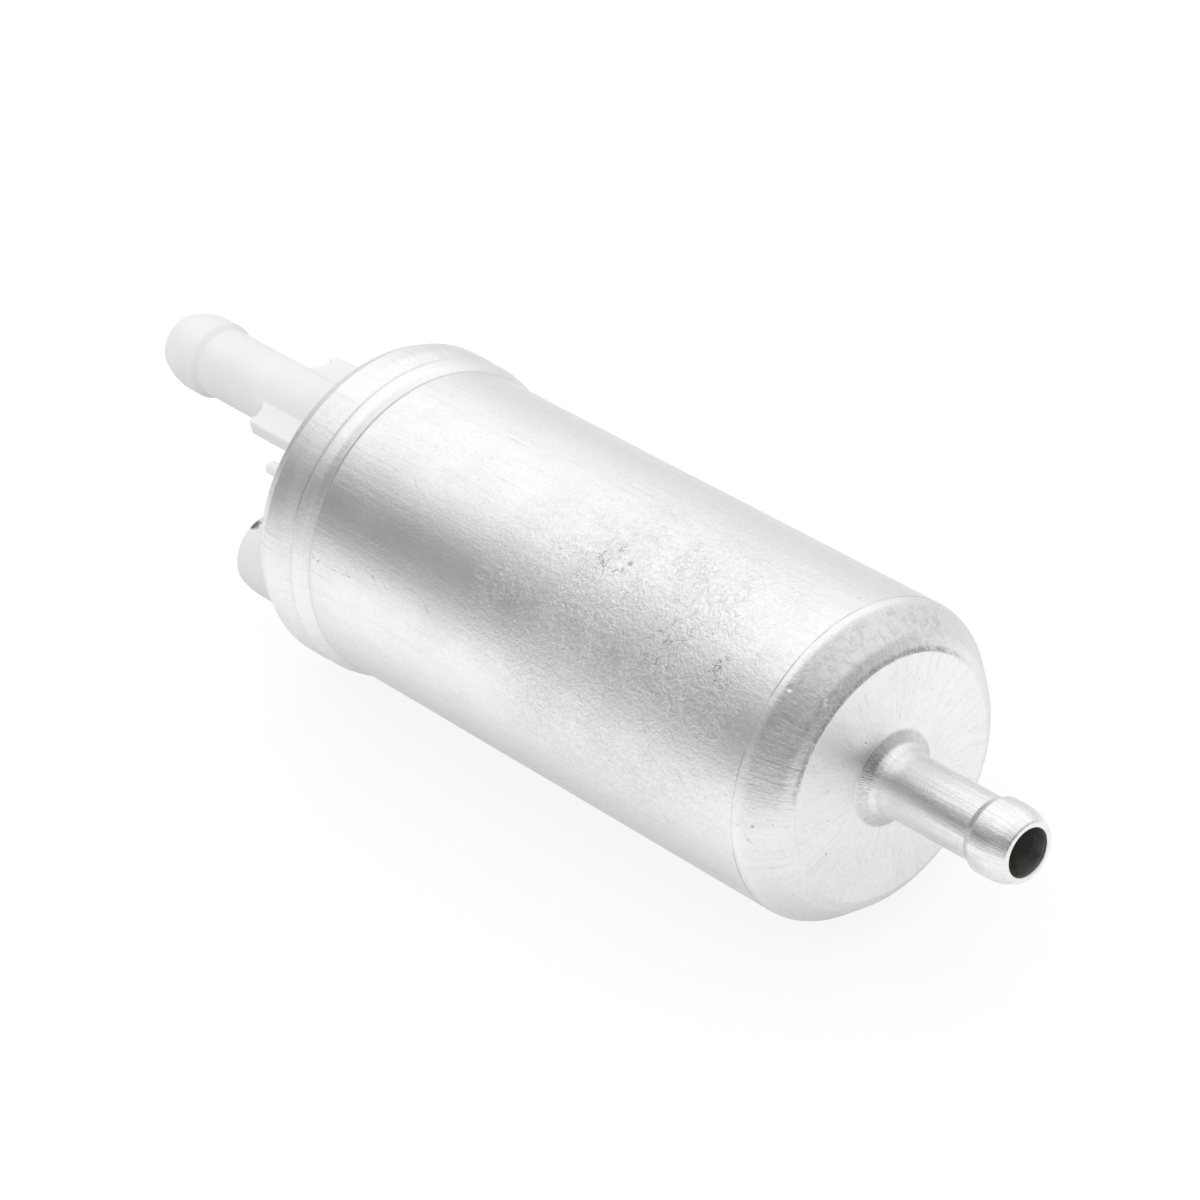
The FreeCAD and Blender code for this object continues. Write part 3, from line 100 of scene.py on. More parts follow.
floor_height = cad_low.z
floor_half = 6.0
ambient_light = 0.995
strip_across = Vector((-0.114, 0.679, 0.726)).normalized()
strip_fall = (0.03, 0.66, 0.29, 1.22)
front_fall = (0.0, 0.55, 1.0, 0.72)
nose_fall = (0.70, 0.92, 1.0, 0.80)
low_fall = (0.0, 0.62, 0.74, 1.0)
second_mirroring = 1.5
floor_colour = 0.58
seen_colour = 0.22
seen_glow = 0.80
mirrored_colour = 0.86
mirrored_glow = 0.20
# To mirror rays the floor is dimmer far out on the +Y side, and painted darker under the pump: a painted
# shadow that only the pump's metal shows in its reflection.
far_fall = (0.04, 0.13, 1.0, 0.88)
under_across = (-0.045, -0.018, 0.0, 1.0)
under_along = (0.045, 0.030, 0.0, 0.16)
lamp_towards = Vector((-0.55, 0.35, 0.75)).normalized()
lamp_distance = 1.2
lamp_side = 1.1
lamp_power = 1.8


class Wiring:
    """Short calls that place and join the nodes of one material, world or node group."""

    def __init__(self, tree):
        self.tree = tree
        tree.nodes.clear()

    def add(self, kind, inputs=None, **settings):
        """A node with its settings. Each input is given another node's output, a value, or three numbers
        for an opaque colour."""
        node = self.tree.nodes.new(kind if kind.startswith("Node") else "ShaderNode" + kind)
        for name, value in settings.items():
            setattr(node, name, value)
        for name, value in (inputs or {}).items():
            socket = node.inputs[name]
            if isinstance(value, bpy.types.NodeSocket):
                self.tree.links.new(value, socket)
            else:
                socket.default_value = (*value, 1.0) if socket.type == "RGBA" else value
        return node

    def math(self, operation, *values, clamp=False):
        """A step of arithmetic."""
        return self.add("Math", dict(enumerate(values)), operation=operation, use_clamp=clamp).outputs[0]

    def vector(self, operation, *values):
        """A step of vector arithmetic; a dot product or a length gives a number."""
        node = self.add("VectorMath", dict(enumerate(values)), operation=operation)
        return node.outputs["Value" if operation in ("DOT_PRODUCT", "LENGTH") else "Vector"]

    def step(self, value, low, high, start=0.0, end=1.0):
        """A smooth step from start to end as the value goes from low to high."""
        inputs = {"Value": value, "From Min": low, "From Max": high, "To Min": start, "To Max": end}
        return self.add("MapRange", inputs, interpolation_type="SMOOTHSTEP").outputs[0]

    def noise(self, place, scale, detail=3.0, rough=0.5, distort=0.0):
        """Even noise round a half."""
        return self.add("TexNoise", {"Vector": place, "Scale": scale, "Detail": detail, "Roughness": rough,
                                     "Distortion": distort}).outputs[0]

    def mix(self, share, first, second):
        """A blend of two colours."""
        return self.add("Mix", {0: share, 6: first, 7: second}, data_type="RGBA").outputs[2]

    def between(self, share, first, second):
        """A blend of two numbers."""
        return self.add("Mix", {0: share, 2: first, 3: second}).outputs[0]

    def times(self, value, *others):
        """A product, taken from left to right."""
        for other in others:
            value = self.math("MULTIPLY", value, other)
        return value

    def apart(self, place, spot):
        """The distance between two places."""
        return self.vector("LENGTH", self.vector("SUBTRACT", place, spot))

    def layered(self, value, *layers):
        """A value plus masks, each times its share, kept between 0 and 1."""
        for mask, share in layers:
            value = self.math("ADD", value, self.times(mask, share), clamp=True)
        return value

    def painted(self, tone, *layers):
        """A colour with others laid over it, each by its mask times its share."""
        for mask, share, colour in layers:
            tone = self.mix(self.times(mask, share), tone, colour)
        return tone

    def group(self, tree, place=None, **inputs):
        """The outputs of a node group."""
        if place is not None:
            inputs["Place"] = place
        return self.add("Group", inputs, node_tree=tree).outputs

    def shade(self, colour, rough, normal, **others):
        """The material's own shader and its output."""
        inputs = {"Base Color": colour, "Roughness": rough, "Normal": normal, **others}
        body = self.add("BsdfPrincipled", inputs)
        self.add("OutputMaterial", {"Surface": body.outputs[0]})


world = bpy.data.worlds.new("tent")
world.use_nodes = True
scene.world = world
sky = Wiring(world.node_tree)
towards = sky.add("TexCoord").outputs["Generated"]
off_strip = sky.math("ABSOLUTE", sky.vector("DOT_PRODUCT", towards, tuple(strip_across)))
parts = sky.add("SeparateXYZ", {0: towards}).outputs
shown = sky.add("LightPath").outputs
again = sky.math("GREATER_THAN", shown["Glossy Depth"], second_mirroring)
front = sky.times(sky.step(parts["X"], *front_fall), sky.step(parts["X"], *nose_fall))
tent = sky.times(
    sky.step(off_strip, *strip_fall), sky.math("MAXIMUM", front, again), sky.step(parts["Z"], *low_fall))
tent = sky.between(shown["Is Glossy Ray"], ambient_light, tent)
seen = sky.math("MAXIMUM", shown["Is Camera Ray"], shown["Is Transmission Ray"])
glow = sky.add("Background", {"Color": (1.0, 1.0, 1.0), "Strength": sky.math("MAXIMUM", tent, seen)})
sky.add("OutputWorld", {"Surface": glow.outputs[0]})

floor_mesh = bpy.data.meshes.new("floor")
sides = np.array([(-1, -1), (1, -1), (1, 1), (-1, 1)]) * floor_half
floor_mesh.from_pydata(np.column_stack([sides, np.full(4, floor_height)]).tolist(), [], [(0, 1, 2, 3)])
floor = bpy.data.objects.new("floor", floor_mesh)
scene.collection.objects.link(floor)
floor_paper = bpy.data.materials.new("floor")
floor_paper.use_nodes = True
paper = Wiring(floor_paper.node_tree)
shown = paper.add("LightPath").outputs
seen = paper.math("ADD", shown["Is Camera Ray"], shown["Is Transmission Ray"], clamp=True)
spot = paper.add("SeparateXYZ", {0: paper.add("TexCoord").outputs["Object"]}).outputs
# Painted shadow under the pump, seen only in mirrors.
under = paper.times(paper.step(spot["Y"], *under_across), paper.step(spot["X"], *under_along))
far = paper.math("SUBTRACT", paper.step(spot["Y"], *far_fall), under)
tone = paper.between(seen, floor_colour, seen_colour)
tone = paper.between(shown["Is Glossy Ray"], tone, paper.times(far, mirrored_colour))
shine = paper.times(seen, seen_glow)
shine = paper.between(shown["Is Glossy Ray"], shine, paper.times(far, mirrored_glow))
matt = paper.add("BsdfDiffuse", {"Color": paper.add("CombineXYZ", {0: tone, 1: tone, 2: tone}).outputs[0]})
lit = paper.add("Emission", {"Color": (1.0, 1.0, 1.0), "Strength": shine})
both = paper.add("AddShader", {0: matt.outputs[0], 1: lit.outputs[0]})
paper.add("OutputMaterial", {"Surface": both.outputs[0]})
floor_mesh.materials.append(floor_paper)

lamp = bpy.data.lights.new("top_light", "AREA")
lamp.size = lamp_side
lamp.energy = lamp_power
light = bpy.data.objects.new("top_light", lamp)
light.location = lamp_towards * lamp_distance
light.rotation_euler = light.location.to_track_quat("Z", "Y").to_euler()
light.visible_glossy = False
scene.collection.objects.link(light)

# Can: deep-drawn from one aluminium blank, nipple and all, and left bare. Its open end was widened, the
# cover pushed in with its seal ring, and the rim rolled into a groove and crimped over the cover's edge.

can_radius = 19.0
can_half = 35.4
shell = 1.0
can_bore = can_radius - shell
rim_radius = 20.0
rim_bore = rim_radius - shell
rim_front = -36.7
rim_back = -44.3
rim_mouth = 17.7
groove_at = -38.25
groove_floor = 19.48
face_at = 40.4
face_wall = 1.2
nipple_radius = 3.84
nipple_bore = 2.9
nipple_tip = 60.6
bead_back = 54.8
bead_land = 55.8
bead_radius = 4.45
can_around = 224
dent_depth = 0.07
draw_unit = 20.0


def rounded(corners, turn_step=math.radians(9.0), longest=2.0, guard=0.12, room=0.49):
    """A closed chain of straight runs with rounded corners. Each corner is its place followed by its
    rounding radius. A corner becomes points on the circle that touches both runs, with one more point
    close by on each run; long runs are divided. Also gives each point's curvature, positive outwards."""
    places = np.array([corner[:-1] for corner in corners], float)
    points, bends = [], []
    for number, place in enumerate(places):
        before = places[number - 1] - place
        after = places[(number + 1) % len(places)] - place
        run_in, run_out = np.linalg.norm(before), np.linalg.norm(after)
        before, after = before / run_in, after / run_out
        turn = math.pi - math.acos(np.clip(before @ after, -1.0, 1.0))
        side = before[0] * after[1] - before[1] * after[0]
        radius = min(corners[number][-1], room * min(run_in, run_out) / math.tan(turn / 2))
        cut = radius * math.tan(turn / 2)
        middle = place + (before + after) / np.linalg.norm(before + after) * radius / math.cos(turn / 2)
        share = np.linspace(0.0, 1.0, max(2, math.ceil(turn / turn_step)) + 1)[:, None]
        start, end = place + before * cut - middle, place + after * cut - middle
        arc = middle + (np.sin((1 - share) * turn) * start + np.sin(share * turn) * end) / math.sin(turn)
        beside = min(guard, 0.3 * (min(run_in, run_out) - cut))
        far = places[(number + 1) % len(places)] - arc[-1] - after * beside
        along = np.arange(1, max(1, int(0.5 * np.linalg.norm(far) / longest)))[:, None]
        rest = arc[-1] + after * beside + far * 0.5 * along / (len(along) + 1)
        points += [arc[:1] + before * beside, arc, arc[-1:] + after * beside, rest]
        bends += [[0.0], [math.copysign(1.0 / radius, side)] * len(arc), [0.0] * (1 + len(rest))]
    return np.vstack(points), np.concatenate(bends)


def skin(name, rings, wrap=True):
    """A closed smooth surface through rings of points, in millimetres: neighbours in a ring and in the
    next ring make a face. With wrap the last ring meets the first, else one flat face closes each end.
    The faces are turned outwards by the sign of the enclosed volume."""
    count, around = rings.shape[:2]
    spots = rings.reshape(-1, 3) * MM
    number = np.arange(count * around).reshape(count, around)
    here, there = (number, np.roll(number, -1, 0)) if wrap else (number[:-1], number[1:])
    quads = np.stack([here, np.roll(here, -1, 1), np.roll(there, -1, 1), there], -1).reshape(-1, 4)
    ends = number[:0] if wrap else np.stack([number[0, ::-1], number[-1]])
    fans = np.stack([np.repeat(ends[:, :1], around - 2, 1), ends[:, 1:-1], ends[:, 2:]], -1).reshape(-1, 3)
    halves = np.vstack([quads[:, :3], quads[:, [0, 2, 3]], fans])
    a, b, c = (spots[halves[:, i]] for i in range(3))
    if np.einsum("ij,ij->", a, np.cross(b, c)) < 0:
        quads, ends = quads[:, ::-1], ends[:, ::-1]
    mesh = bpy.data.meshes.new(name)
    mesh.from_pydata(spots.tolist(), [], quads.tolist() + ends.tolist())
    mesh.shade_smooth()
    piece = bpy.data.objects.new(name, mesh)
    scene.collection.objects.link(piece)
    return piece


def turned(name, profile, around, dent=None, side=0.0, wrap=True):
    """A profile of (x, radius) or (x, radius, height) turned about the pump's axis: the point at angle t
    lies at y = r sin t + side, z = r cos t + height. A dent is a depth in radius as a function of x and
    t. Without wrap the profile is open, and flat ends close it."""
    angle = np.linspace(0.0, 2 * math.pi, around, endpoint=False)
    x, radius = profile[:, :1], np.repeat(profile[:, 1:2], around, 1)
    lift = profile[:, 2:3] if profile.shape[1] > 2 else 0.0
    if dent is not None:
        radius = radius - dent(x, angle[None])
    y, z = radius * np.sin(angle) + side, radius * np.cos(angle) + lift
    return skin(name, np.stack([np.repeat(x, around, 1), y, z], -1), wrap)


def per_point(piece, name, values):
    """Values per point, one or three each, that the piece's material reads by name."""
    kind = "FLOAT_VECTOR" if values.ndim > 1 else "FLOAT"
    attribute = piece.data.attributes.new(name, kind, "POINT")
    attribute.data.foreach_set("vector" if values.ndim > 1 else "value", values.astype(np.float32).ravel())


can_corners = [
    (rim_back + shell, rim_mouth, 0.1),
    (rim_back, rim_mouth, 0.25),
    (rim_back, 18.7, 0.5),
    (-43.75, 19.45, 0.4),
    (-42.7, 19.78, 0.12),
    (-42.48, rim_radius, 0.12),
    (-40.2, rim_radius, 2.5),
    (groove_at, groove_floor, 0.9),
    (-37.7, rim_radius - 0.03, 0.5),
    (-36.3, 19.68, 1.5),
    (-35.42, 19.14, 0.15),
    (-35.3, can_radius, 0.12),
    (35.9, can_radius, 1.7),
    (39.4, 16.25, 2.0),
    (face_at, 14.62, 0.2),
    (face_at, 5.72, 0.15),
    (41.3, 4.54, 1.0),
    (42.0, 4.14, 1.2),
    (43.4, nipple_radius, 4.2),
    (bead_back, nipple_radius, 0.3),
    (bead_land, bead_radius, 0.5),
    (58.8, 4.44, 7.5),
    (nipple_tip, 3.588, 0.45),
    (nipple_tip, nipple_bore, 0.15),
    (face_at - face_wall, nipple_bore, 0.3),
    (face_at - face_wall, 14.0, 0.8),
    (37.9, 17.0, 3.0),
    (34.9, can_bore, 0.8),
    (-can_half, can_bore, 0.5),
    (rim_front, rim_bore, 0.5),
    (-42.7, rim_bore, 0.3),
    (rim_back + shell, 18.4, 0.3),
]


def handling_dents(x, angle):
    """Shallow hollows in the wall: three products of sines of angle and length, faded out at its ends."""
    hollow = (1 + np.sin(2 * angle + 0.11 * x + 0.6)) * (1 + np.sin(5 * angle - 0.07 * x + 2.1))
    hollow = hollow + (1 + np.sin(3 * angle + 0.23 * x)) * (1 + np.sin(9 * angle + 0.13 * x + 1.0)) * 0.4
    hollow = hollow + (1 + np.sin(angle - 0.31 * x + 4.0)) * (1 + np.sin(4 * angle + 0.05 * x)) * 0.5
    return dent_depth * hollow / 7.6 * np.clip((can_half - np.abs(x)) / 6.0, 0.0, 1.0) ** 2


can_profile, can_bends = rounded(can_corners)
can_shell = turned("can_shell", can_profile, can_around, handling_dents)
can_angle = np.linspace(0.0, 2 * math.pi, can_around, endpoint=False)[None]
can_run = np.concatenate([[0.0], np.cumsum(np.linalg.norm(np.diff(can_profile, axis=0), axis=1))])
can_run = np.repeat(can_run[:, None], can_around, 1) / draw_unit
can_draw = np.stack(np.broadcast_arrays(np.sin(can_angle), np.cos(can_angle), can_run), -1)
per_point(can_shell, "draw", can_draw.reshape(-1, 3))
per_point(can_shell, "bend", np.repeat(can_bends, can_around))
can_mouths = np.flatnonzero(np.isclose(can_profile[:, 1], nipple_bore, atol=0.05))[0]
can_inner = (np.arange(len(can_profile)) > can_mouths) * 1.0
per_point(can_shell, "inner", np.repeat(can_inner, can_around))
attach(can_shell, "housing")
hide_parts("can")


def effect(name, *takes):
    """Makes a node group of the function below it. Takes names the inputs, of which Place and Turn are
    vectors and the others numbers, and the function gives the outputs by name."""
    def grouped(build):
        group = bpy.data.node_groups.new(name, "ShaderNodeTree")
        for socket in takes:
            kind = "NodeSocketVector" if socket in ("Place", "Turn") else "NodeSocketFloat"
            group.interface.new_socket(socket, in_out="INPUT", socket_type=kind)
        nodes = Wiring(group)
        inputs = nodes.add("NodeGroupInput").outputs
        made = build(nodes, *(inputs[socket] for socket in takes))
        for socket in made:
            group.interface.new_socket(socket, in_out="OUTPUT", socket_type="NodeSocketFloat")
        nodes.add("NodeGroupOutput", made)
        return group
    return grouped


@effect("surface_grain", "Place", "Fineness")
def surface_grain(nodes, place, fineness):
    """Broad clouds and fine grain in one place, both from layered noise."""
    broad = nodes.times(fineness, 0.11)
    fine = nodes.times(fineness, 2.4)
    return {"Cloud": nodes.step(nodes.noise(place, broad, 4.0, 0.58), 0.32, 0.68),
            "Grain": nodes.noise(place, fine, 4.0, 0.6)}


@effect("scratches", "Place", "Turn", "Fineness", "Level")
def scratches(nodes, place, turn, fineness, level):
    """Hairlines: noise drawn out forty times along one turned direction, kept at its peaks, and broken
    into patches by a second, broad noise."""
    turned_place = nodes.add("Mapping", {"Vector": place, "Rotation": turn}).outputs[0]
    across = nodes.vector("MULTIPLY", turned_place, (1.0, 1.0, 0.025))
    lines = nodes.noise(across, fineness, 2.0)
    patches = nodes.noise(place, nodes.times(fineness, 0.03), 2.0)
    peaks = nodes.step(lines, level, nodes.math("ADD", level, 0.05))
    return {"Mask": nodes.times(peaks, nodes.step(patches, 0.46, 0.62))}


@effect("pits", "Place", "Fineness", "Level")
def pits(nodes, place, fineness, level):
    """Small round pits in the middles of scattered cells. Each cell draws a lot, which sizes its pit, and
    only the few with a high lot show."""
    cells = nodes.add("TexVoronoi", {"Vector": place, "Scale": fineness})
    lot = nodes.add("SeparateColor", {0: cells.outputs["Color"]}).outputs[0]
    size = nodes.times(lot, 0.09)
    spot = nodes.step(cells.outputs["Distance"], 0.0, size, 1.0, 0.0)
    return {"Mask": nodes.times(spot, nodes.step(lot, level, 1.0))}


def new_finish(name):
    """A material, its nodes and the place on its surface in millimetres."""
    material = bpy.data.materials.new(name + "_finish")
    material.use_nodes = True
    nodes = Wiring(material.node_tree)
    place = nodes.vector("MULTIPLY", nodes.add("TexCoord").outputs["Object"], (1 / MM,) * 3)
    return material, nodes, place


def bumped(nodes, *layers):
    """A normal from layers of height, each with its depth in metres."""
    normal = None
    for height, depth in layers:
        inputs = {"Height": height, "Distance": depth, "Strength": 1.0}
        if normal is not None:
            inputs["Normal"] = normal
        normal = nodes.add("Bump", inputs).outputs[0]
    return normal


can_metal, can, place = new_finish("can_aluminium")
bare_colour = (0.87, 0.873, 0.877)
tarnish_and_reflection_colour = (0.63, 0.63, 0.635)
dark_colour = (0.16, 0.16, 0.16)
# Painted shade for the can's inner surfaces: a dark colour mottled with a darker one.
painted_bore_shade = (0.17, 0.172, 0.155)
inside_shade = (0.105, 0.107, 0.096)
peel_middle = (14.0, -12.0, 14.5)
scuff_middle = (38.0, -12.0, 12.6)
crack_spots = (((19.4, -10.5, 15.8), 5.5), ((27.4, -10.2, 16.1), 4.0), ((6.5, -5.0, 18.3), 3.5))
nick_spots = (((-33.6, -11.4, 15.2), 0.22), ((8.6, -4.4, 18.5), 0.42), ((40.4, 3.7, 6.1), 0.22),
              ((5.1, -18.4, -4.6), 0.34), ((13.0, -18.8, -2.8), 0.30))
dent_spots = (((36.5, -7.7, 16.9), 0.42), ((39.6, -5.7, 15.0), 0.52))
stroke_runs = (((-34.9, -17.3, 7.9), (-31.4, -17.4, 7.7), 0.11),
               ((-31.4, -17.4, 7.7), (-27.7, -17.2, 8.0), 0.13),
               ((13.6, -15.6, 10.8), (16.0, -15.0, 11.6), 0.09),
               ((29.0, -8.6, 16.9), (34.6, -9.6, 16.4), 0.07))
draw = can.add("Attribute", attribute_name="draw").outputs["Vector"]
bend = can.add("Attribute", attribute_name="bend").outputs["Fac"]
parts = can.add("SeparateXYZ", {0: place}).outputs
along = parts["X"]


def band(start, full, fading, end):
    """A stretch of the can's length: up from start to full and down from fading to end, in millimetres."""
    return can.times(can.step(along, start, full), can.step(along, end, fading))


def drawn(around, lengthwise, detail, rough, distort=0.0):
    """Noise with its own fineness round the can and along its drawn wall."""
    spread = can.vector("MULTIPLY", draw, (around, around, lengthwise))
    return can.noise(spread, 1.0, detail, rough, distort)


cloud, grain = can.group(surface_grain, place, Fineness=1.0)
speckle = can.noise(place, 3.2, 3.0, 0.6)
fine_lines = drawn(80.0, 1.8, 3.0, 0.6)
broad_lines = drawn(20.0, 0.55, 4.0, 0.6)
mottle = can.step(can.noise(place, 0.55, 5.0, 0.68), 0.36, 0.66)
shoulder = band(36.0, 36.9, 40.2, 40.38)
face = band(40.3, 40.38, 40.45, 40.7)
flare = band(40.42, 40.6, 42.0, 43.5)
# A ring at the foot of the flare, painted duller and darker: a painted dark reflection.
flare_base_dark_reflection = band(40.44, 40.52, 41.15, 41.5)
nipple = can.step(along, 40.4, 40.6)
# Less of the dull colour, so lighter: burnished on the rim's bulge, and a painted highlight on the nipple's
# throat.
burnish_and_highlight = can.math("MAXIMUM", band(-37.6, -37.0, -35.5, -35.3), band(41.2, 41.6, 43.0, 44.5))

peel_patch = can.times(
    can.step(can.apart(place, peel_middle), 30.0, 7.0, 0.15, 1.0),
    can.step(can.noise(place, 0.16), 0.30, 0.70, 0.50, 1.0))
peel = can.math("SUBTRACT", can.noise(place, 2.2, 4.0, 0.66, 0.5), 0.5)
folds = can.math("ABSOLUTE", can.math("SUBTRACT", can.noise(place, 1.1, 3.0, 0.6, 0.8), 0.5))
wrinkles = can.times(can.step(folds, 0.035, 0.0), peel_patch)

crack_patch = 0.0
for spot, reach in crack_spots:
    near = can.step(can.apart(place, spot), reach, reach * 0.3)
    crack_patch = can.math("MAXIMUM", crack_patch, near)
crack_patch = can.times(crack_patch, can.step(can.noise(place, 1.0, 2.0), 0.46, 0.56))
stray_reach = 1.4
stray = can.add("TexNoise", {"Vector": place, "Scale": 1.6}).outputs["Color"]
bent_place = can.vector("ADD", place, can.vector("MULTIPLY", stray, (stray_reach,) * 3))
cells = can.add("TexVoronoi", {"Vector": bent_place, "Scale": 0.6}, feature="DISTANCE_TO_EDGE")
cracks = can.times(can.step(cells.outputs["Distance"], 0.06, 0.01), crack_patch)

scuffed = can.apart(place, scuff_middle)
shoulder_marks = can.times(
    can.step(drawn(95.0, 5.0, 4.0, 0.65), 0.44, 0.64), shoulder, can.step(scuffed, 10.0, 3.0, 0.10, 1.0))
shoulder_streaks = can.times(
    can.step(drawn(60.0, 3.0, 3.0, 0.6), 0.54, 0.64), shoulder, can.step(scuffed, 7.0, 2.0))
# Along the face edge, on the upper side only: a jagged dark line, partly burrs and wear and partly a painted
# dark reflection.
face_edge_marks_and_reflection = can.times(band(39.95, 40.25, 40.34, 40.39), can.step(parts["Z"], 5.0, 12.0))
face_edge_burrs_and_reflection = can.times(face_edge_marks_and_reflection, can.step(speckle, 0.40, 0.52))
face_edge_marks_and_reflection = can.times(face_edge_marks_and_reflection, can.step(can.noise(place, 0.5), 0.35, 0.6))
scuffs = can.times(
    can.step(can.noise(place, 1.2, 5.0, 0.78, 0.8), 0.46, 0.60), shoulder, can.step(parts["Z"], 7.0, 13.0),
    can.step(can.noise(place, 0.3, 2.0), 0.35, 0.60, 0.3, 1.0))
face_marks = can.times(can.step(drawn(30.0, 4.5, 3.0, 0.6, 0.3), 0.57, 0.70), face)
nipple_marks = can.times(can.step(drawn(32.0, 1.0, 5.0, 0.72), 0.47, 0.66), nipple)
flare_marks = can.times(can.step(drawn(70.0, 20.0, 4.0, 0.7), 0.46, 0.62), flare)
hair = can.group(scratches, draw, Fineness=60.0, Level=0.66)[0]
slant = can.group(scratches, place, Turn=(0.3, 0.9, 0.5), Fineness=2.2, Level=0.68)[0]
spots = can.group(pits, place, Fineness=0.32, Level=0.86)[0]
dents = can.times(spots, 0.5)
for spot, size in nick_spots:
    away = can.math("ADD", can.apart(place, spot), can.times(speckle, 0.9))
    spots = can.math("MAXIMUM", spots, can.step(away, size + 0.45, size + 0.1))
for spot, size in dent_spots:
    dents = can.math("MAXIMUM", dents, can.step(can.apart(place, spot), size, 0.05))
strokes = 0.0
for start, end, width in stroke_runs:
    run = Vector(end) - Vector(start)
    bent_start = Vector(start) + Vector((stray_reach / 2,) * 3)
    from_start = can.vector("SUBTRACT", bent_place, tuple(bent_start))
    share = can.vector("DOT_PRODUCT", from_start, tuple(run / run.length_squared))
    foot = can.add("VectorMath", {0: tuple(run), "Scale": can.math("ADD", share, 0.0, clamp=True)},
                   operation="SCALE").outputs[0]
    near = can.step(can.apart(from_start, foot), width, width * 0.3)
    strokes = can.math("MAXIMUM", strokes, near)
# Tight concave bends, read from the curvature, are painted darker: painted shade in the creases.
hollow = can.step(bend, -2.5, -6.0)
ridge = can.step(bend, 0.7, 3.0)
# A thin dark line painted round the wall just before the shoulder, broken by noise: painted shade for the
# crease.
crease_shade = can.step(can.math("ABSOLUTE", can.math("SUBTRACT", along, can_half - 0.12)), 0.13, 0.03)
crease_shade = can.times(crease_shade, can.step(can.noise(draw, 3.0), 0.38, 0.58, 0.30, 1.0))

# The duller, greyer colour: tarnish, tool marks and scuffs, with the painted dark reflections at the flare's
# foot and along the face edge.
tarnish_and_reflection = can.layered(
    can.times(cloud, 0.10), (can.step(broad_lines, 0.5, 0.75), 0.10),
    (can.step(speckle, 0.42, 0.66), 0.20), (can.step(fine_lines, 0.45, 0.75), 0.16), (mottle, 0.06),
    (wrinkles, 0.06), (shoulder, 0.12), (shoulder_marks, 0.75), (face_edge_marks_and_reflection, 0.85), (scuffs, 0.50),
    (flare_base_dark_reflection, 0.5), (face_marks, 0.30), (nipple_marks, 0.50), (hair, 0.5))
tarnish_and_reflection = can.times(tarnish_and_reflection, can.step(burnish_and_highlight, 0.0, 1.0, 1.0, 0.45))
# Dark marks: cracks, pits, strokes, scratches, flare marks and drag streaks, with painted shade in tight
# hollows and the crease, and the partly painted burrs at the face edge.
dark = can.layered(
    can.times(cracks, 0.6), (spots, 0.55), (strokes, 0.4), (slant, 0.2), (hollow, 0.10), (crease_shade, 0.5),
    (flare_marks, 0.12), (face_edge_burrs_and_reflection, 0.4), (shoulder_streaks, 0.3))
# On the can's inner surfaces, from just inside the nipple's mouth, the colour is painted dark and mottled,
# and less metallic: painted shade deep in the bore.
inside = can.times(
    can.add("Attribute", attribute_name="inner").outputs["Fac"],
    can.step(along, nipple_tip - 0.1, nipple_tip - 0.6))
colour = can.mix(dark, can.mix(tarnish_and_reflection, bare_colour, tarnish_and_reflection_colour), dark_colour)
colour = can.mix(inside, colour, can.mix(mottle, painted_bore_shade, inside_shade))
roughness = can.layered(
    can.step(cloud, 0.0, 1.0, 0.30, 0.35), (tarnish_and_reflection, 0.10), (dark, 0.3), (ridge, 0.14), (nipple, -0.19),
    (flare, -0.02), (inside, 0.3))
hollows = can.math("ADD", dark, can.times(wrinkles, 0.6))
wear_height = can.math("SUBTRACT", can.times(grain, 0.35), hollows)
normal = bumped(
    can, (broad_lines, 0.00002), (fine_lines, 0.000007), (can.times(peel, peel_patch), 0.00015),
    (speckle, 0.000014), (mottle, 0.000006), (wear_height, 0.00004), (nipple_marks, 0.000006),
    (scuffs, -0.000012), (dents, -0.00013))
can.shade(colour, roughness, normal, Metallic=can.step(inside, 0.0, 1.0, 1.0, 0.2))
can_shell.data.materials.append(can_metal)

# End cover: one white moulding. A raised disc stands in the can's mouth and carries the outlet nipple
# between two flat wings, the half-round shroud of the plug socket and a small locating pip. Inside, it is
# hollowed for the non-return valve, for the rear bush and for the two blades that pass through it.

outlet_height = 8.7
outlet_radius = 4.25
outlet_bore = 2.9
outlet_tip = -78.7
outlet_bead_back = -71.5
outlet_bead_land = -72.2
outlet_bead_radius = 4.8
disc_radius = 17.6
spigot_radius = 17.8
seal_groove = 16.6
valley_radius = 18.5
flange_radius = 18.9
cover_inner = -32.3
cover_around = 128
valve_radius = 3.9
valve_end = -41.8
wing_half = 7.2
wing_root = 3.3
wing_end = -57.7
wing_blend = 3.0
wing_neck = 6.4
wing_low = 8.9
wing_high = 10.9
wing_edge = 0.3
wing_sunk = 0.9
socket_outer = 17.5
socket_top = 0.8
socket_corner = 4.8
socket_wall = 1.5
socket_back = -54.0
socket_floor = -44.9
socket_lip = 0.35
socket_around = 144
pip_side = -11.0
pip_height = 10.4
pip_radius = 0.8
pip_edge = 0.5
pip_middle = -46.0
pip_end = -49.3
pip_around = 32
sunk = 0.5
bush_seat_radius = 3.65
bush_seat_end = -37.35
seat_around = 64
slot_half_thick = 0.45
slot_half_wide = 3.2
slot_side = 7.0
slot_height = -7.6

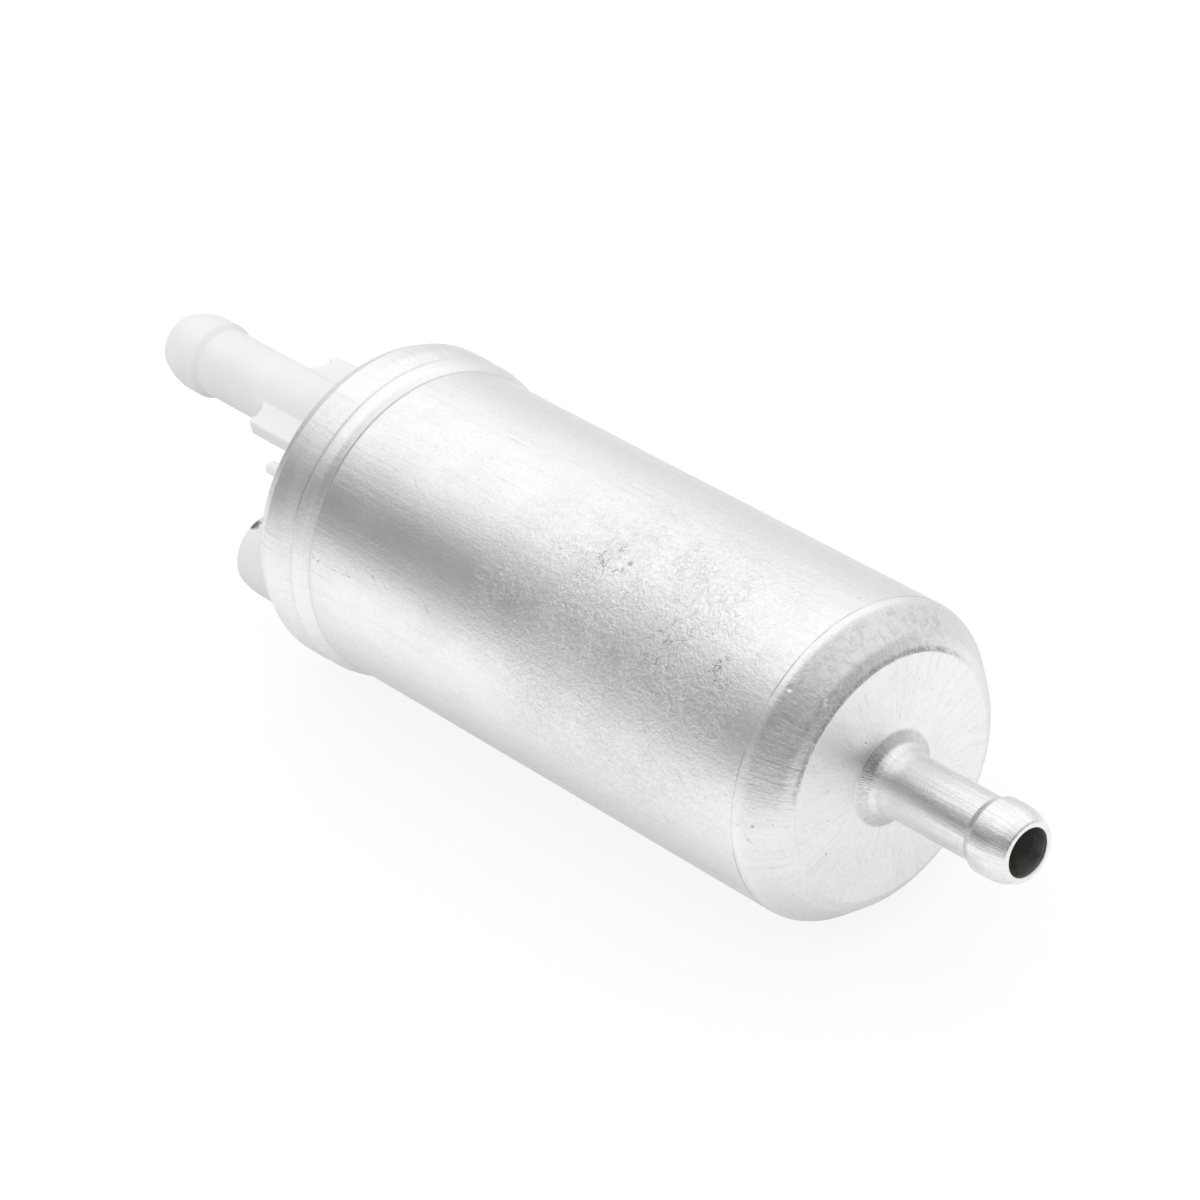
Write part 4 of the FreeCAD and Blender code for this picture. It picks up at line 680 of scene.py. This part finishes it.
cover_corners = [
    (valve_end, outlet_bore, outlet_height, 0.1),
    (valve_end, valve_radius, outlet_height, 0.2),
    (cover_inner, valve_radius, outlet_height, 0.2),
    (cover_inner, spigot_radius, 0.0, 0.3),
    (-32.9, spigot_radius, 0.0, 0.1),
    (-32.9, seal_groove, 0.0, 0.1),
    (-34.9, seal_groove, 0.0, 0.1),
    (-34.9, spigot_radius, 0.0, 0.1),
    (-can_half, spigot_radius, 0.0, 0.2),
    (rim_front, valley_radius, 0.0, 0.3),
    (-39.2, valley_radius, 0.0, 0.1),
    (-39.2, flange_radius, 0.0, 0.1),
    (-42.55, flange_radius, 0.0, 0.1),
    (-43.2, 18.2, 0.0, 0.1),
    (-43.2, disc_radius, 0.0, 0.1),
    (rim_back, disc_radius, 0.0, 0.3),
    (rim_back, outlet_radius, outlet_height, 0.8),
    (outlet_bead_back, outlet_radius, outlet_height, 0.3),
    (outlet_bead_land, outlet_bead_radius, outlet_height, 0.5),
    (-75.99, 4.78, outlet_height, 11.0),
    (outlet_tip, 3.69, outlet_height, 0.6),
    (outlet_tip, outlet_bore, outlet_height, 0.25),
]
cover_moulding = turned("cover_moulding", rounded(cover_corners)[0], cover_around)


def inward(outline, distance):
    """A closed outline moved inwards along its normals, which are its neighbours' chord turned square."""
    along = np.roll(outline, -1, 0) - np.roll(outline, 1, 0)
    along = along / np.linalg.norm(along, axis=1)[:, None]
    return outline + np.stack([-along[:, 1], along[:, 0]], -1) * distance


def quarter(radius, steps=5):
    """Insets and rises of a rounded edge: 1 - sine and 1 - cosine of a quarter turn, times its radius."""
    angle = np.linspace(0.0, math.pi / 2, steps)
    return radius * (1 - np.sin(angle)), radius * (1 - np.cos(angle))


def plate(name, outline, low, high, edge):
    """A flat plate with rounded edges: an outline in x and y carried up from one height to another."""
    inset, rise = quarter(edge)
    steps = list(zip(inset, low + rise)) + list(zip(inset[::-1], high - rise[::-1]))
    rings = [np.column_stack([inward(outline, i), np.full(len(outline), z)]) for i, z in steps]
    return skin(name, np.array(rings), wrap=False)


wing_corners = [
    (rim_back + sunk, wing_half, 0.4),
    (wing_end, wing_half, 0.4),
    (wing_end, wing_root, wing_blend),
    (wing_end - wing_neck, wing_root, 0.4),
    (wing_end - wing_neck, wing_root - wing_sunk, 0.3),
    (rim_back + sunk, wing_root - wing_sunk, 0.3),
]
wing_outline = rounded(wing_corners, longest=0.6, room=0.8)[0]
left_wing = plate("left_wing", wing_outline, wing_low, wing_high, wing_edge)
right_wing = plate("right_wing", wing_outline[::-1] * [1, -1], wing_low, wing_high, wing_edge)


def socket_ring(shrink, x):
    """The socket's half-round outline made smaller by a wall: a flat top, two rounded corners and an arc
    about the pump's axis, spread evenly along its length."""
    outer, corner = socket_outer - shrink, socket_corner - shrink * 0.6
    height = socket_top - shrink - corner
    reach = math.sqrt((outer - corner) ** 2 - height**2)
    turn = math.atan2(height, reach)
    corner_arc = np.linspace(turn, math.pi / 2, 12)
    big_arc = np.linspace(math.pi - turn, 2 * math.pi + turn, 96)[1:-1]
    right = np.column_stack([reach + corner * np.cos(corner_arc), height + corner * np.sin(corner_arc)])
    left = right[::-1] * [-1, 1]
    loop = np.vstack([right, left, np.column_stack([outer * np.cos(big_arc), outer * np.sin(big_arc)])])
    closed = np.vstack([loop, loop[:1]])
    run = np.concatenate([[0.0], np.cumsum(np.linalg.norm(np.diff(closed, axis=0), axis=1))])
    at = np.linspace(0.0, run[-1], socket_around, endpoint=False)
    return np.column_stack([np.full(socket_around, x), np.interp(at, run, closed[:, 0]),
                            np.interp(at, run, closed[:, 1])])


inset, rise = quarter(socket_lip)
socket_steps = [(0.0, x) for x in (rim_back + 0.6, rim_back - 2.0, socket_back + 3.0, socket_back + 0.6)]
socket_steps += list(zip(inset[::-1], socket_back + rise[::-1]))
socket_steps += list(zip(socket_wall - inset, socket_back + rise))
socket_steps += [(socket_wall, x) for x in (socket_back + 0.6, socket_floor - 3.0, socket_floor - 0.6)]
socket_steps += list(zip((socket_wall + inset)[::-1], (socket_floor - rise)[::-1]))
socket_rings = np.array([socket_ring(shrink, x) for shrink, x in socket_steps])
plug_socket = skin("plug_socket", socket_rings, wrap=False)

inset, rise = quarter(pip_edge, 6)
pip_x = [rim_back + sunk, pip_middle, *(pip_end + rise[::-1])]
pip_radii = [pip_radius, pip_radius, *(pip_radius - inset[::-1])]
pip_profile = np.column_stack([pip_x, pip_radii, np.full(len(pip_x), pip_height)])
pip = turned("pip", pip_profile, pip_around, side=pip_side, wrap=False)
cut_start = cover_inner + 1.0
seat_profile = np.array([(cut_start, bush_seat_radius), (bush_seat_end, bush_seat_radius)])
bush_seat = turned("bush_seat", seat_profile, seat_around, wrap=False)
slot_half = (0.0, slot_half_thick, slot_half_wide)
slot_ring = np.array([(0, -1, -1), (0, 1, -1), (0, 1, 1), (0, -1, 1)]) * slot_half
left_slot, right_slot = (
    skin("blade_slot", np.array([slot_ring + [x, side * slot_side, slot_height]
                                 for x in (cut_start, socket_floor - 0.6)]), wrap=False)
    for side in (1, -1))

operations = [(part, "UNION") for part in (left_wing, right_wing, plug_socket, pip)]
operations += [(part, "DIFFERENCE") for part in (bush_seat, left_slot, right_slot)]
for part, operation in operations:
    joining = cover_moulding.modifiers.new(part.name, "BOOLEAN")
    joining.operation = operation
    joining.solver = "MANIFOLD"
    joining.object = part
    with bpy.context.temp_override(object=cover_moulding):
        bpy.ops.object.modifier_apply(modifier=joining.name)
    bpy.data.objects.remove(part)
moulding = cover_moulding.data
cover_mesh = bmesh.new()
cover_mesh.from_mesh(moulding)
bmesh.ops.remove_doubles(cover_mesh, verts=cover_mesh.verts, dist=0.03 * MM)
bmesh.ops.dissolve_degenerate(cover_mesh, edges=cover_mesh.edges, dist=0.01 * MM)
bmesh.ops.triangulate(cover_mesh, faces=[face for face in cover_mesh.faces if len(face.verts) > 4])
cover_mesh.to_mesh(moulding)
cover_mesh.free()
moulding.materials.clear()
moulding.polygons.foreach_set("material_index", np.zeros(len(moulding.polygons), np.int32))
moulding.set_sharp_from_angle(angle=math.radians(30.0))
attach(cover_moulding, "housing")
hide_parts("end_cover")


@effect("edge_wear", "Place", "Radius")
def edge_wear(nodes, place, radius):
    """Worn edges: where the normal, rounded over a small radius, leaves the true one, broken by noise."""
    soft_normal = nodes.add("Bevel", {"Radius": radius}, samples=6).outputs[0]
    true_normal = nodes.add("NewGeometry").outputs["Normal"]
    turn = nodes.math("SUBTRACT", 1.0, nodes.vector("DOT_PRODUCT", soft_normal, true_normal))
    worn = nodes.step(turn, 0.01, 0.16)
    return {"Mask": nodes.times(worn, nodes.step(nodes.noise(place, 0.9), 0.35, 0.6))}


plastic_ior = 1.48
dark_spot_colour = (0.12, 0.12, 0.12)


def moulded(name, colour, flow_colour, worn_colour, roughness, fineness, relief, dark_spot=None):
    """A moulded plastic: flow clouds, fine grain, a few hairlines and pits, and scuffed edges. The values
    are its three colours, roughness, fineness of grain and relief in metres. A dark spot, given by its
    middle and its reach in millimetres, is painted over the colour."""
    material, nodes, place = new_finish(name)
    soft = nodes.group(surface_grain, place, Fineness=fineness)
    hair = nodes.group(scratches, place, Turn=(0.4, 1.3, 0.2), Fineness=3.0, Level=0.67)[0]
    spots = nodes.group(pits, place, Fineness=0.5, Level=0.9)[0]
    worn = nodes.group(edge_wear, place, Radius=0.0004)[0]
    tone = nodes.painted(
        colour, (soft["Cloud"], 0.8, flow_colour), (worn, 0.6, worn_colour), (spots, 0.35, flow_colour))
    if dark_spot is not None:
        away = nodes.apart(place, dark_spot[0])
        away = nodes.math("ADD", away, nodes.noise(place, 1.4))
        tone = nodes.mix(nodes.step(away, dark_spot[1], dark_spot[1] * 0.6), tone, dark_spot_colour)
    rough = nodes.step(soft["Cloud"], 0.0, 1.0, roughness - 0.05, roughness + 0.06)
    rough = nodes.math("ADD", rough, nodes.times(hair, 0.15))
    rough = nodes.math("ADD", rough, nodes.times(worn, 0.10), clamp=True)
    height = nodes.math("SUBTRACT", soft["Grain"], nodes.times(hair, 0.8))
    normal = bumped(nodes, (soft["Cloud"], relief * 1.5), (height, relief))
    nodes.shade(tone, rough, normal, IOR=plastic_ior)
    return material


# The white cover's plastic, with a small dark spot painted beside the plug socket.
white_plastic = moulded(
    "white_plastic", (0.84, 0.842, 0.858), (0.80, 0.802, 0.82), (0.87, 0.873, 0.885), 0.42, 1.0, 0.000012,
    ((-53.6, -12.9, 0.7), 1.5))
moulding.materials.append(white_plastic)

# Terminals: two blades stamped from tin-plated brass strip, with coined edges and a latch hole, pushed
# through the cover into the plug socket.

blade_side = 7.0
blade_thick = 0.8
blade_low = -10.75
blade_high = -4.45
blade_back = -52.9
blade_front = -30.7
blade_edge = 0.14
latch_hole = 0.85
point_long = 1.2
point_drop = 0.9
latch_place = (-50.5, -7.6)
blade_corners = [
    (blade_front, blade_low, 0.3),
    (blade_front, blade_high, 0.3),
    (blade_back + point_long, blade_high, 0.4),
    (blade_back, blade_high - point_drop, 0.4),
    (blade_back, blade_low + point_drop, 0.4),
    (blade_back + point_long, blade_low, 0.4),
]


def blade(name, side):
    """A flat blade with a hole: rays from the hole's centre meet the outline, and each ray carries one
    section, out along one face, round the outer edge, back along the other and through the hole."""
    outline = rounded(blade_corners, longest=0.8)[0]
    centre = np.array(latch_place)
    rays = outline - centre
    rays = rays / np.linalg.norm(rays, axis=1)[:, None]
    out, rise = quarter(blade_edge, 4)
    half = blade_thick / 2
    sections = [(0.0, shift, half - drop) for shift, drop in zip(out[::-1], rise[::-1])]
    sections += [(share, 0.0, half) for share in (0.1, 0.35, 0.7, 0.96)]
    sections += [(1.0, -shift, half - drop) for shift, drop in zip(out, rise)]
    sections += [(share, shift, -height) for share, shift, height in reversed(sections)]
    rings = []
    for share, shift, height in sections:
        flat = (centre + rays * latch_hole) * (1 - share) + outline * share + rays * shift
        across = np.full(len(flat), side * blade_side + height)
        rings.append(np.column_stack([flat[:, 0], across, flat[:, 1]]))
    return skin(name, np.array(rings))


def dress(material, *names):
    """Gives CAD nodes a finish in place of their plain colour."""
    for name in names:
        for place_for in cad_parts[name].material_slots:
            place_for.material = material


def worked_metal(name, colour, dull_colour, worn_colour, roughness, fineness, relief, lay):
    """A bare or plated metal: tool marks along one lay, clouds, hairlines, pits and bright worn edges. The
    values are three colours, roughness, fineness of grain, relief in metres, and the marks per millimetre
    along each axis."""
    material, nodes, place = new_finish(name)
    soft = nodes.group(surface_grain, place, Fineness=fineness)
    marks = nodes.noise(nodes.vector("MULTIPLY", place, lay), 1.0, 4.0, 0.6)
    hair = nodes.group(scratches, place, Turn=(0.2, 0.7, 1.1), Fineness=3.5, Level=0.66)[0]
    spots = nodes.group(pits, place, Fineness=0.7, Level=0.88)[0]
    worn = nodes.group(edge_wear, place, Radius=0.0003)[0]
    marked = nodes.step(marks, 0.5, 0.75)
    tone = nodes.painted(
        colour, (soft["Cloud"], 0.7, dull_colour), (marked, 0.4, dull_colour), (spots, 0.6, dull_colour))
    tone = nodes.mix(nodes.math("MAXIMUM", worn, nodes.times(hair, 0.5)), tone, worn_colour)
    rough = nodes.step(soft["Cloud"], 0.0, 1.0, roughness - 0.05, roughness + 0.08)
    rough = nodes.math("SUBTRACT", rough, nodes.times(worn, 0.12), clamp=True)
    height = nodes.math("SUBTRACT", soft["Grain"], nodes.math("ADD", hair, spots))
    normal = bumped(nodes, (marks, relief * 1.5), (height, relief))
    nodes.shade(tone, rough, normal, Metallic=1.0)
    return material


tinned_brass = worked_metal(
    "terminal_brass", (0.80, 0.79, 0.74), (0.62, 0.58, 0.48), (0.86, 0.72, 0.42), 0.32, 2.0, 0.000006,
    (0.1, 4.0, 4.0))
for name, side in (("terminal_left", 1), ("terminal_right", -1)):
    terminal = blade(name + "_blade", side)
    terminal.data.materials.append(tinned_brass)
    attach(terminal, "housing")
    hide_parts(name)

# Seal ring: a moulded rubber ring with a square section, squeezed between the cover's groove and the
# can's wall. Rubber is dull, and carries mould release bloom.

black_rubber = moulded(
    "seal_rubber", (0.020, 0.020, 0.021), (0.045, 0.044, 0.042), (0.07, 0.07, 0.068), 0.62, 2.0, 0.00001)
dress(black_rubber, "cover_seal")

# Strainer: a clipped frame of natural nylon with woven mesh over its windows, pressed into the can's nose
# ahead of the gear stage. The mesh is fine white thread, woven over and under.

natural_nylon = moulded(
    "natural_plastic", (0.70, 0.66, 0.56), (0.62, 0.57, 0.46), (0.78, 0.75, 0.67), 0.40, 1.5, 0.00001)
dress(natural_nylon, "strainer_frame", "outlet_valve_seat", "outlet_valve_poppet")
mesh_pitch = 0.22


@effect("strands", "Across", "Pitch")
def strands(nodes, across, pitch):
    """Rounded strands side by side: the distance from the nearest strand's middle, folded every pitch,
    read as a half circle."""
    half = nodes.times(pitch, 0.5)
    off = nodes.math("DIVIDE", nodes.math("PINGPONG", across, half), half)
    rise = nodes.math("SQRT", nodes.math("SUBTRACT", 1.0, nodes.times(off, off), clamp=True))
    return {"Height": rise, "Gap": nodes.step(off, 0.72, 0.98)}


woven_mesh, nodes, place = new_finish("filter_mesh")
parts = nodes.add("SeparateXYZ", {0: place}).outputs
warp = nodes.group(strands, Across=parts["Y"], Pitch=mesh_pitch)
weft = nodes.group(strands, Across=parts["Z"], Pitch=mesh_pitch)
soft = nodes.group(surface_grain, place, Fineness=1.0)
thread = nodes.math("MAXIMUM", warp["Height"], weft["Height"])
hole = nodes.times(warp["Gap"], weft["Gap"])
tone = nodes.mix(nodes.times(soft["Cloud"], 0.5), (0.74, 0.75, 0.74), (0.62, 0.60, 0.52))
# The holes are painted near black: painted shade for the dark seen through the mesh.
tone = nodes.mix(hole, tone, (0.06, 0.06, 0.055))
rough = nodes.step(soft["Grain"], 0.3, 0.7, 0.40, 0.58)
normal = bumped(nodes, (thread, 0.00005), (soft["Grain"], 0.000006))
nodes.shade(tone, rough, normal)
dress(woven_mesh, "strainer_mesh")

# Gear stage: an aluminium inlet plate, housing and outlet plate held by two screws round a steel rotor
# pair. A coned spring washer presses the stack home, and a ball, spring and plug relieve over-pressure.

cast_aluminium = worked_metal(
    "plate_aluminium", (0.74, 0.745, 0.75), (0.52, 0.52, 0.525), (0.90, 0.90, 0.90), 0.38, 1.6, 0.000012,
    (0.3, 2.4, 0.3))
dress(cast_aluminium, "inlet_plate", "gear_housing", "outlet_plate", "relief_plug")
ground_steel = worked_metal(
    "ground_steel", (0.58, 0.57, 0.56), (0.38, 0.37, 0.36), (0.78, 0.77, 0.76), 0.22, 2.5, 0.000004,
    (6.0, 0.2, 0.2))
dress(ground_steel, "inner_rotor", "gear_ring", "relief_ball", "stack_screws", "armature_shaft")
spring_steel = worked_metal(
    "spring_steel", (0.50, 0.50, 0.52), (0.30, 0.30, 0.33), (0.72, 0.72, 0.73), 0.28, 3.0, 0.000004,
    (0.4, 3.0, 3.0))
dress(spring_steel, "load_washer", "magnet_clip_left", "magnet_clip_right")

# Field: a rolled steel flux ring, zinc-plated against the fuel, with two dark sintered ferrite magnets
# held apart by spring clips.

plated_steel = worked_metal(
    "flux_steel", (0.66, 0.66, 0.63), (0.46, 0.46, 0.43), (0.50, 0.49, 0.48), 0.36, 1.2, 0.00001,
    (0.2, 1.5, 1.5))
dress(plated_steel, "flux_ring")
ferrite = moulded(
    "magnet_ferrite", (0.050, 0.050, 0.053), (0.085, 0.083, 0.082), (0.15, 0.145, 0.14), 0.55, 3.0, 0.00002)
dress(ferrite, "magnet_upper", "magnet_lower")

# Armature: stamped laminations stacked on the shaft and wound with enamelled copper wire, whose turns lie
# side by side along the slots. The blued sheets show as fine lines across the stack, painted darker
# between sheets and between turns as shade.

sheet_pitch = 0.5
wire_pitch = 0.45


def stranded(name, colour, gap_colour, worn_colour, roughness, metallic, pitch, across, relief):
    """Sheets or wires side by side: strands across one direction, painted darker in the gaps as shade, and
    worn on top. The values are three colours, roughness, metallic, pitch in millimetres, direction and
    relief in metres."""
    material, nodes, place = new_finish(name)
    soft = nodes.group(surface_grain, place, Fineness=1.5)
    drift = nodes.times(nodes.noise(place, 0.25, 2.0), pitch)
    side = nodes.math("ADD", nodes.vector("DOT_PRODUCT", place, across), drift)
    row = nodes.group(strands, Across=side, Pitch=pitch)
    worn = nodes.group(edge_wear, place, Radius=0.0003)[0]
    # Clouds and the gaps go towards the gap colour. In the gaps it is painted shade.
    tone = nodes.painted(
        colour, (soft["Cloud"], 0.6, gap_colour), (row["Gap"], 0.85, gap_colour), (worn, 0.7, worn_colour))
    rough = nodes.step(soft["Grain"], 0.3, 0.7, roughness - 0.06, roughness + 0.08)
    normal = bumped(nodes, (row["Height"], relief), (soft["Grain"], 0.000005))
    nodes.shade(tone, rough, normal, Metallic=metallic)
    return material


sheet_stack = stranded(
    "lamination_steel", (0.36, 0.37, 0.40), (0.14, 0.14, 0.15), (0.66, 0.65, 0.64), 0.38, 1.0, sheet_pitch,
    (1.0, 0.0, 0.0), 0.00003)
dress(sheet_stack, "laminations")
enamelled_wire = stranded(
    "copper_windings", (0.62, 0.24, 0.10), (0.20, 0.06, 0.025), (0.80, 0.42, 0.22), 0.30, 1.0, wire_pitch,
    (0.0, 0.8, 0.6), 0.00009)
dress(enamelled_wire, "windings")

# Commutator and brushes: copper bars on a moulded hub, worn into rings by two carbon brushes, which
# springs press from a moulded holder. A braided copper lead carries each brush's current.

brown_plastic = moulded(
    "dark_plastic", (0.035, 0.026, 0.020), (0.060, 0.045, 0.034), (0.11, 0.085, 0.065), 0.45, 1.5, 0.000014)
dress(brown_plastic, "brush_holder", "commutator_hub", "thrust_washer_rear", "thrust_washer_front")
bar_copper = worked_metal(
    "copper_bars", (0.86, 0.48, 0.32), (0.36, 0.19, 0.13), (0.92, 0.60, 0.45), 0.30, 2.0, 0.00001,
    (7.0, 0.2, 0.2))
dress(bar_copper, "commutator_bars")
braid = stranded(
    "copper_braid", (0.84, 0.45, 0.30), (0.30, 0.13, 0.08), (0.92, 0.60, 0.45), 0.34, 1.0, 0.16,
    (0.6, 0.6, 0.53), 0.00005)
dress(braid, "brush_lead_left", "brush_lead_right")
carbon = moulded(
    "carbon", (0.030, 0.029, 0.028), (0.060, 0.058, 0.056), (0.12, 0.117, 0.113), 0.50, 4.0, 0.000012)
dress(carbon, "brush_left", "brush_right")

# Springs: round spring wire, cold-wound with closed ends. One shuts the non-return valve, one holds the
# relief ball and two press the brushes. Each stands on its fixed end.

wire_around = 12
steps_per_turn = 48
closed_turns = 0.75
closed_gap = 1.04
opening_turns = 0.3


def coil_spring(name, seat, way, length, radius, wire, turns):
    """Round wire wound about a line: at angle t its middle lies at radius (cos t, sin t) across the line,
    and along it at the sum of the pitch so far, which is just over the wire's thickness on the end turns
    and wider between them. Way points from the fixed end, at the seat, to the free one."""
    turn = np.linspace(0.0, turns, round(turns * steps_per_turn) + 1)
    share = np.clip((np.minimum(turn, turns - turn) - closed_turns) / opening_turns, 0.0, 1.0)
    opened = share * share * (3 - 2 * share)
    step = turn[1]
    closed = 2 * wire * closed_gap
    middles = (opened[1:] + opened[:-1]) / 2
    wider = (length - 2 * wire - closed * turns) / (middles.sum() * step)
    rise = np.concatenate([[0.0], np.cumsum((closed + wider * middles) * step)])
    first = np.roll(np.abs(way), 1)
    second = np.cross(way, first)
    angle = 2 * math.pi * turn[:, None]
    outward = np.cos(angle) * first + np.sin(angle) * second
    forward = 2 * math.pi * radius * (np.cos(angle) * second - np.sin(angle) * first)
    forward = forward + way * (closed + wider * opened)[:, None]
    forward = forward / np.linalg.norm(forward, axis=1)[:, None]
    middle = seat + way * (wire + rise)[:, None] + radius * outward
    around = np.linspace(0.0, 2 * math.pi, wire_around, endpoint=False)[None, :, None]
    across = np.cross(forward, outward)[:, None]
    return skin(name, middle[:, None] + wire * (np.cos(around) * outward[:, None] + np.sin(around) * across),
                wrap=False)


for name, node, joint, way, radius, wire, turns, travel in (
        ("poppet_coil", "outlet_valve_spring", "outlet_valve_lift", (1, 0, 0), 3.25, 0.25, 4.0, 2.0),
        ("relief_coil", "relief_spring", "relief_valve_lift", (-1, 0, 0), 1.2, 0.22, 6.0, 1.2),
        ("brush_coil_left", "brush_spring_left", "brush_left_slide", (0, -1, 0), 1.5, 0.25, 4.0, 1.5),
        ("brush_coil_right", "brush_spring_right", "brush_right_slide", (0, 1, 0), 1.5, 0.25, 4.0, 1.5)):
    low, high = (np.array(corner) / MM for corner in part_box(node))
    way = np.array(way, float)
    length = float((high - low) @ np.abs(way))
    seat = (low + high) / 2 - way * length / 2
    spring = coil_spring(name, seat, way, length, radius, wire, turns)
    spring.data.materials.append(spring_steel)
    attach(spring, "housing")
    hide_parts(node)
    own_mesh(spring)

# Bushes: two short sleeves of sintered bronze, porous and soaked with oil, that carry the shaft. One
# stands in the end cover, the other in the outlet plate of the gear stage.

sintered_bronze = worked_metal(
    "bush_bronze", (0.62, 0.43, 0.22), (0.38, 0.25, 0.12), (0.78, 0.60, 0.36), 0.40, 4.0, 0.00002,
    (0.5, 0.5, 0.5))
dress(sintered_bronze, "bush_rear", "bush_front")
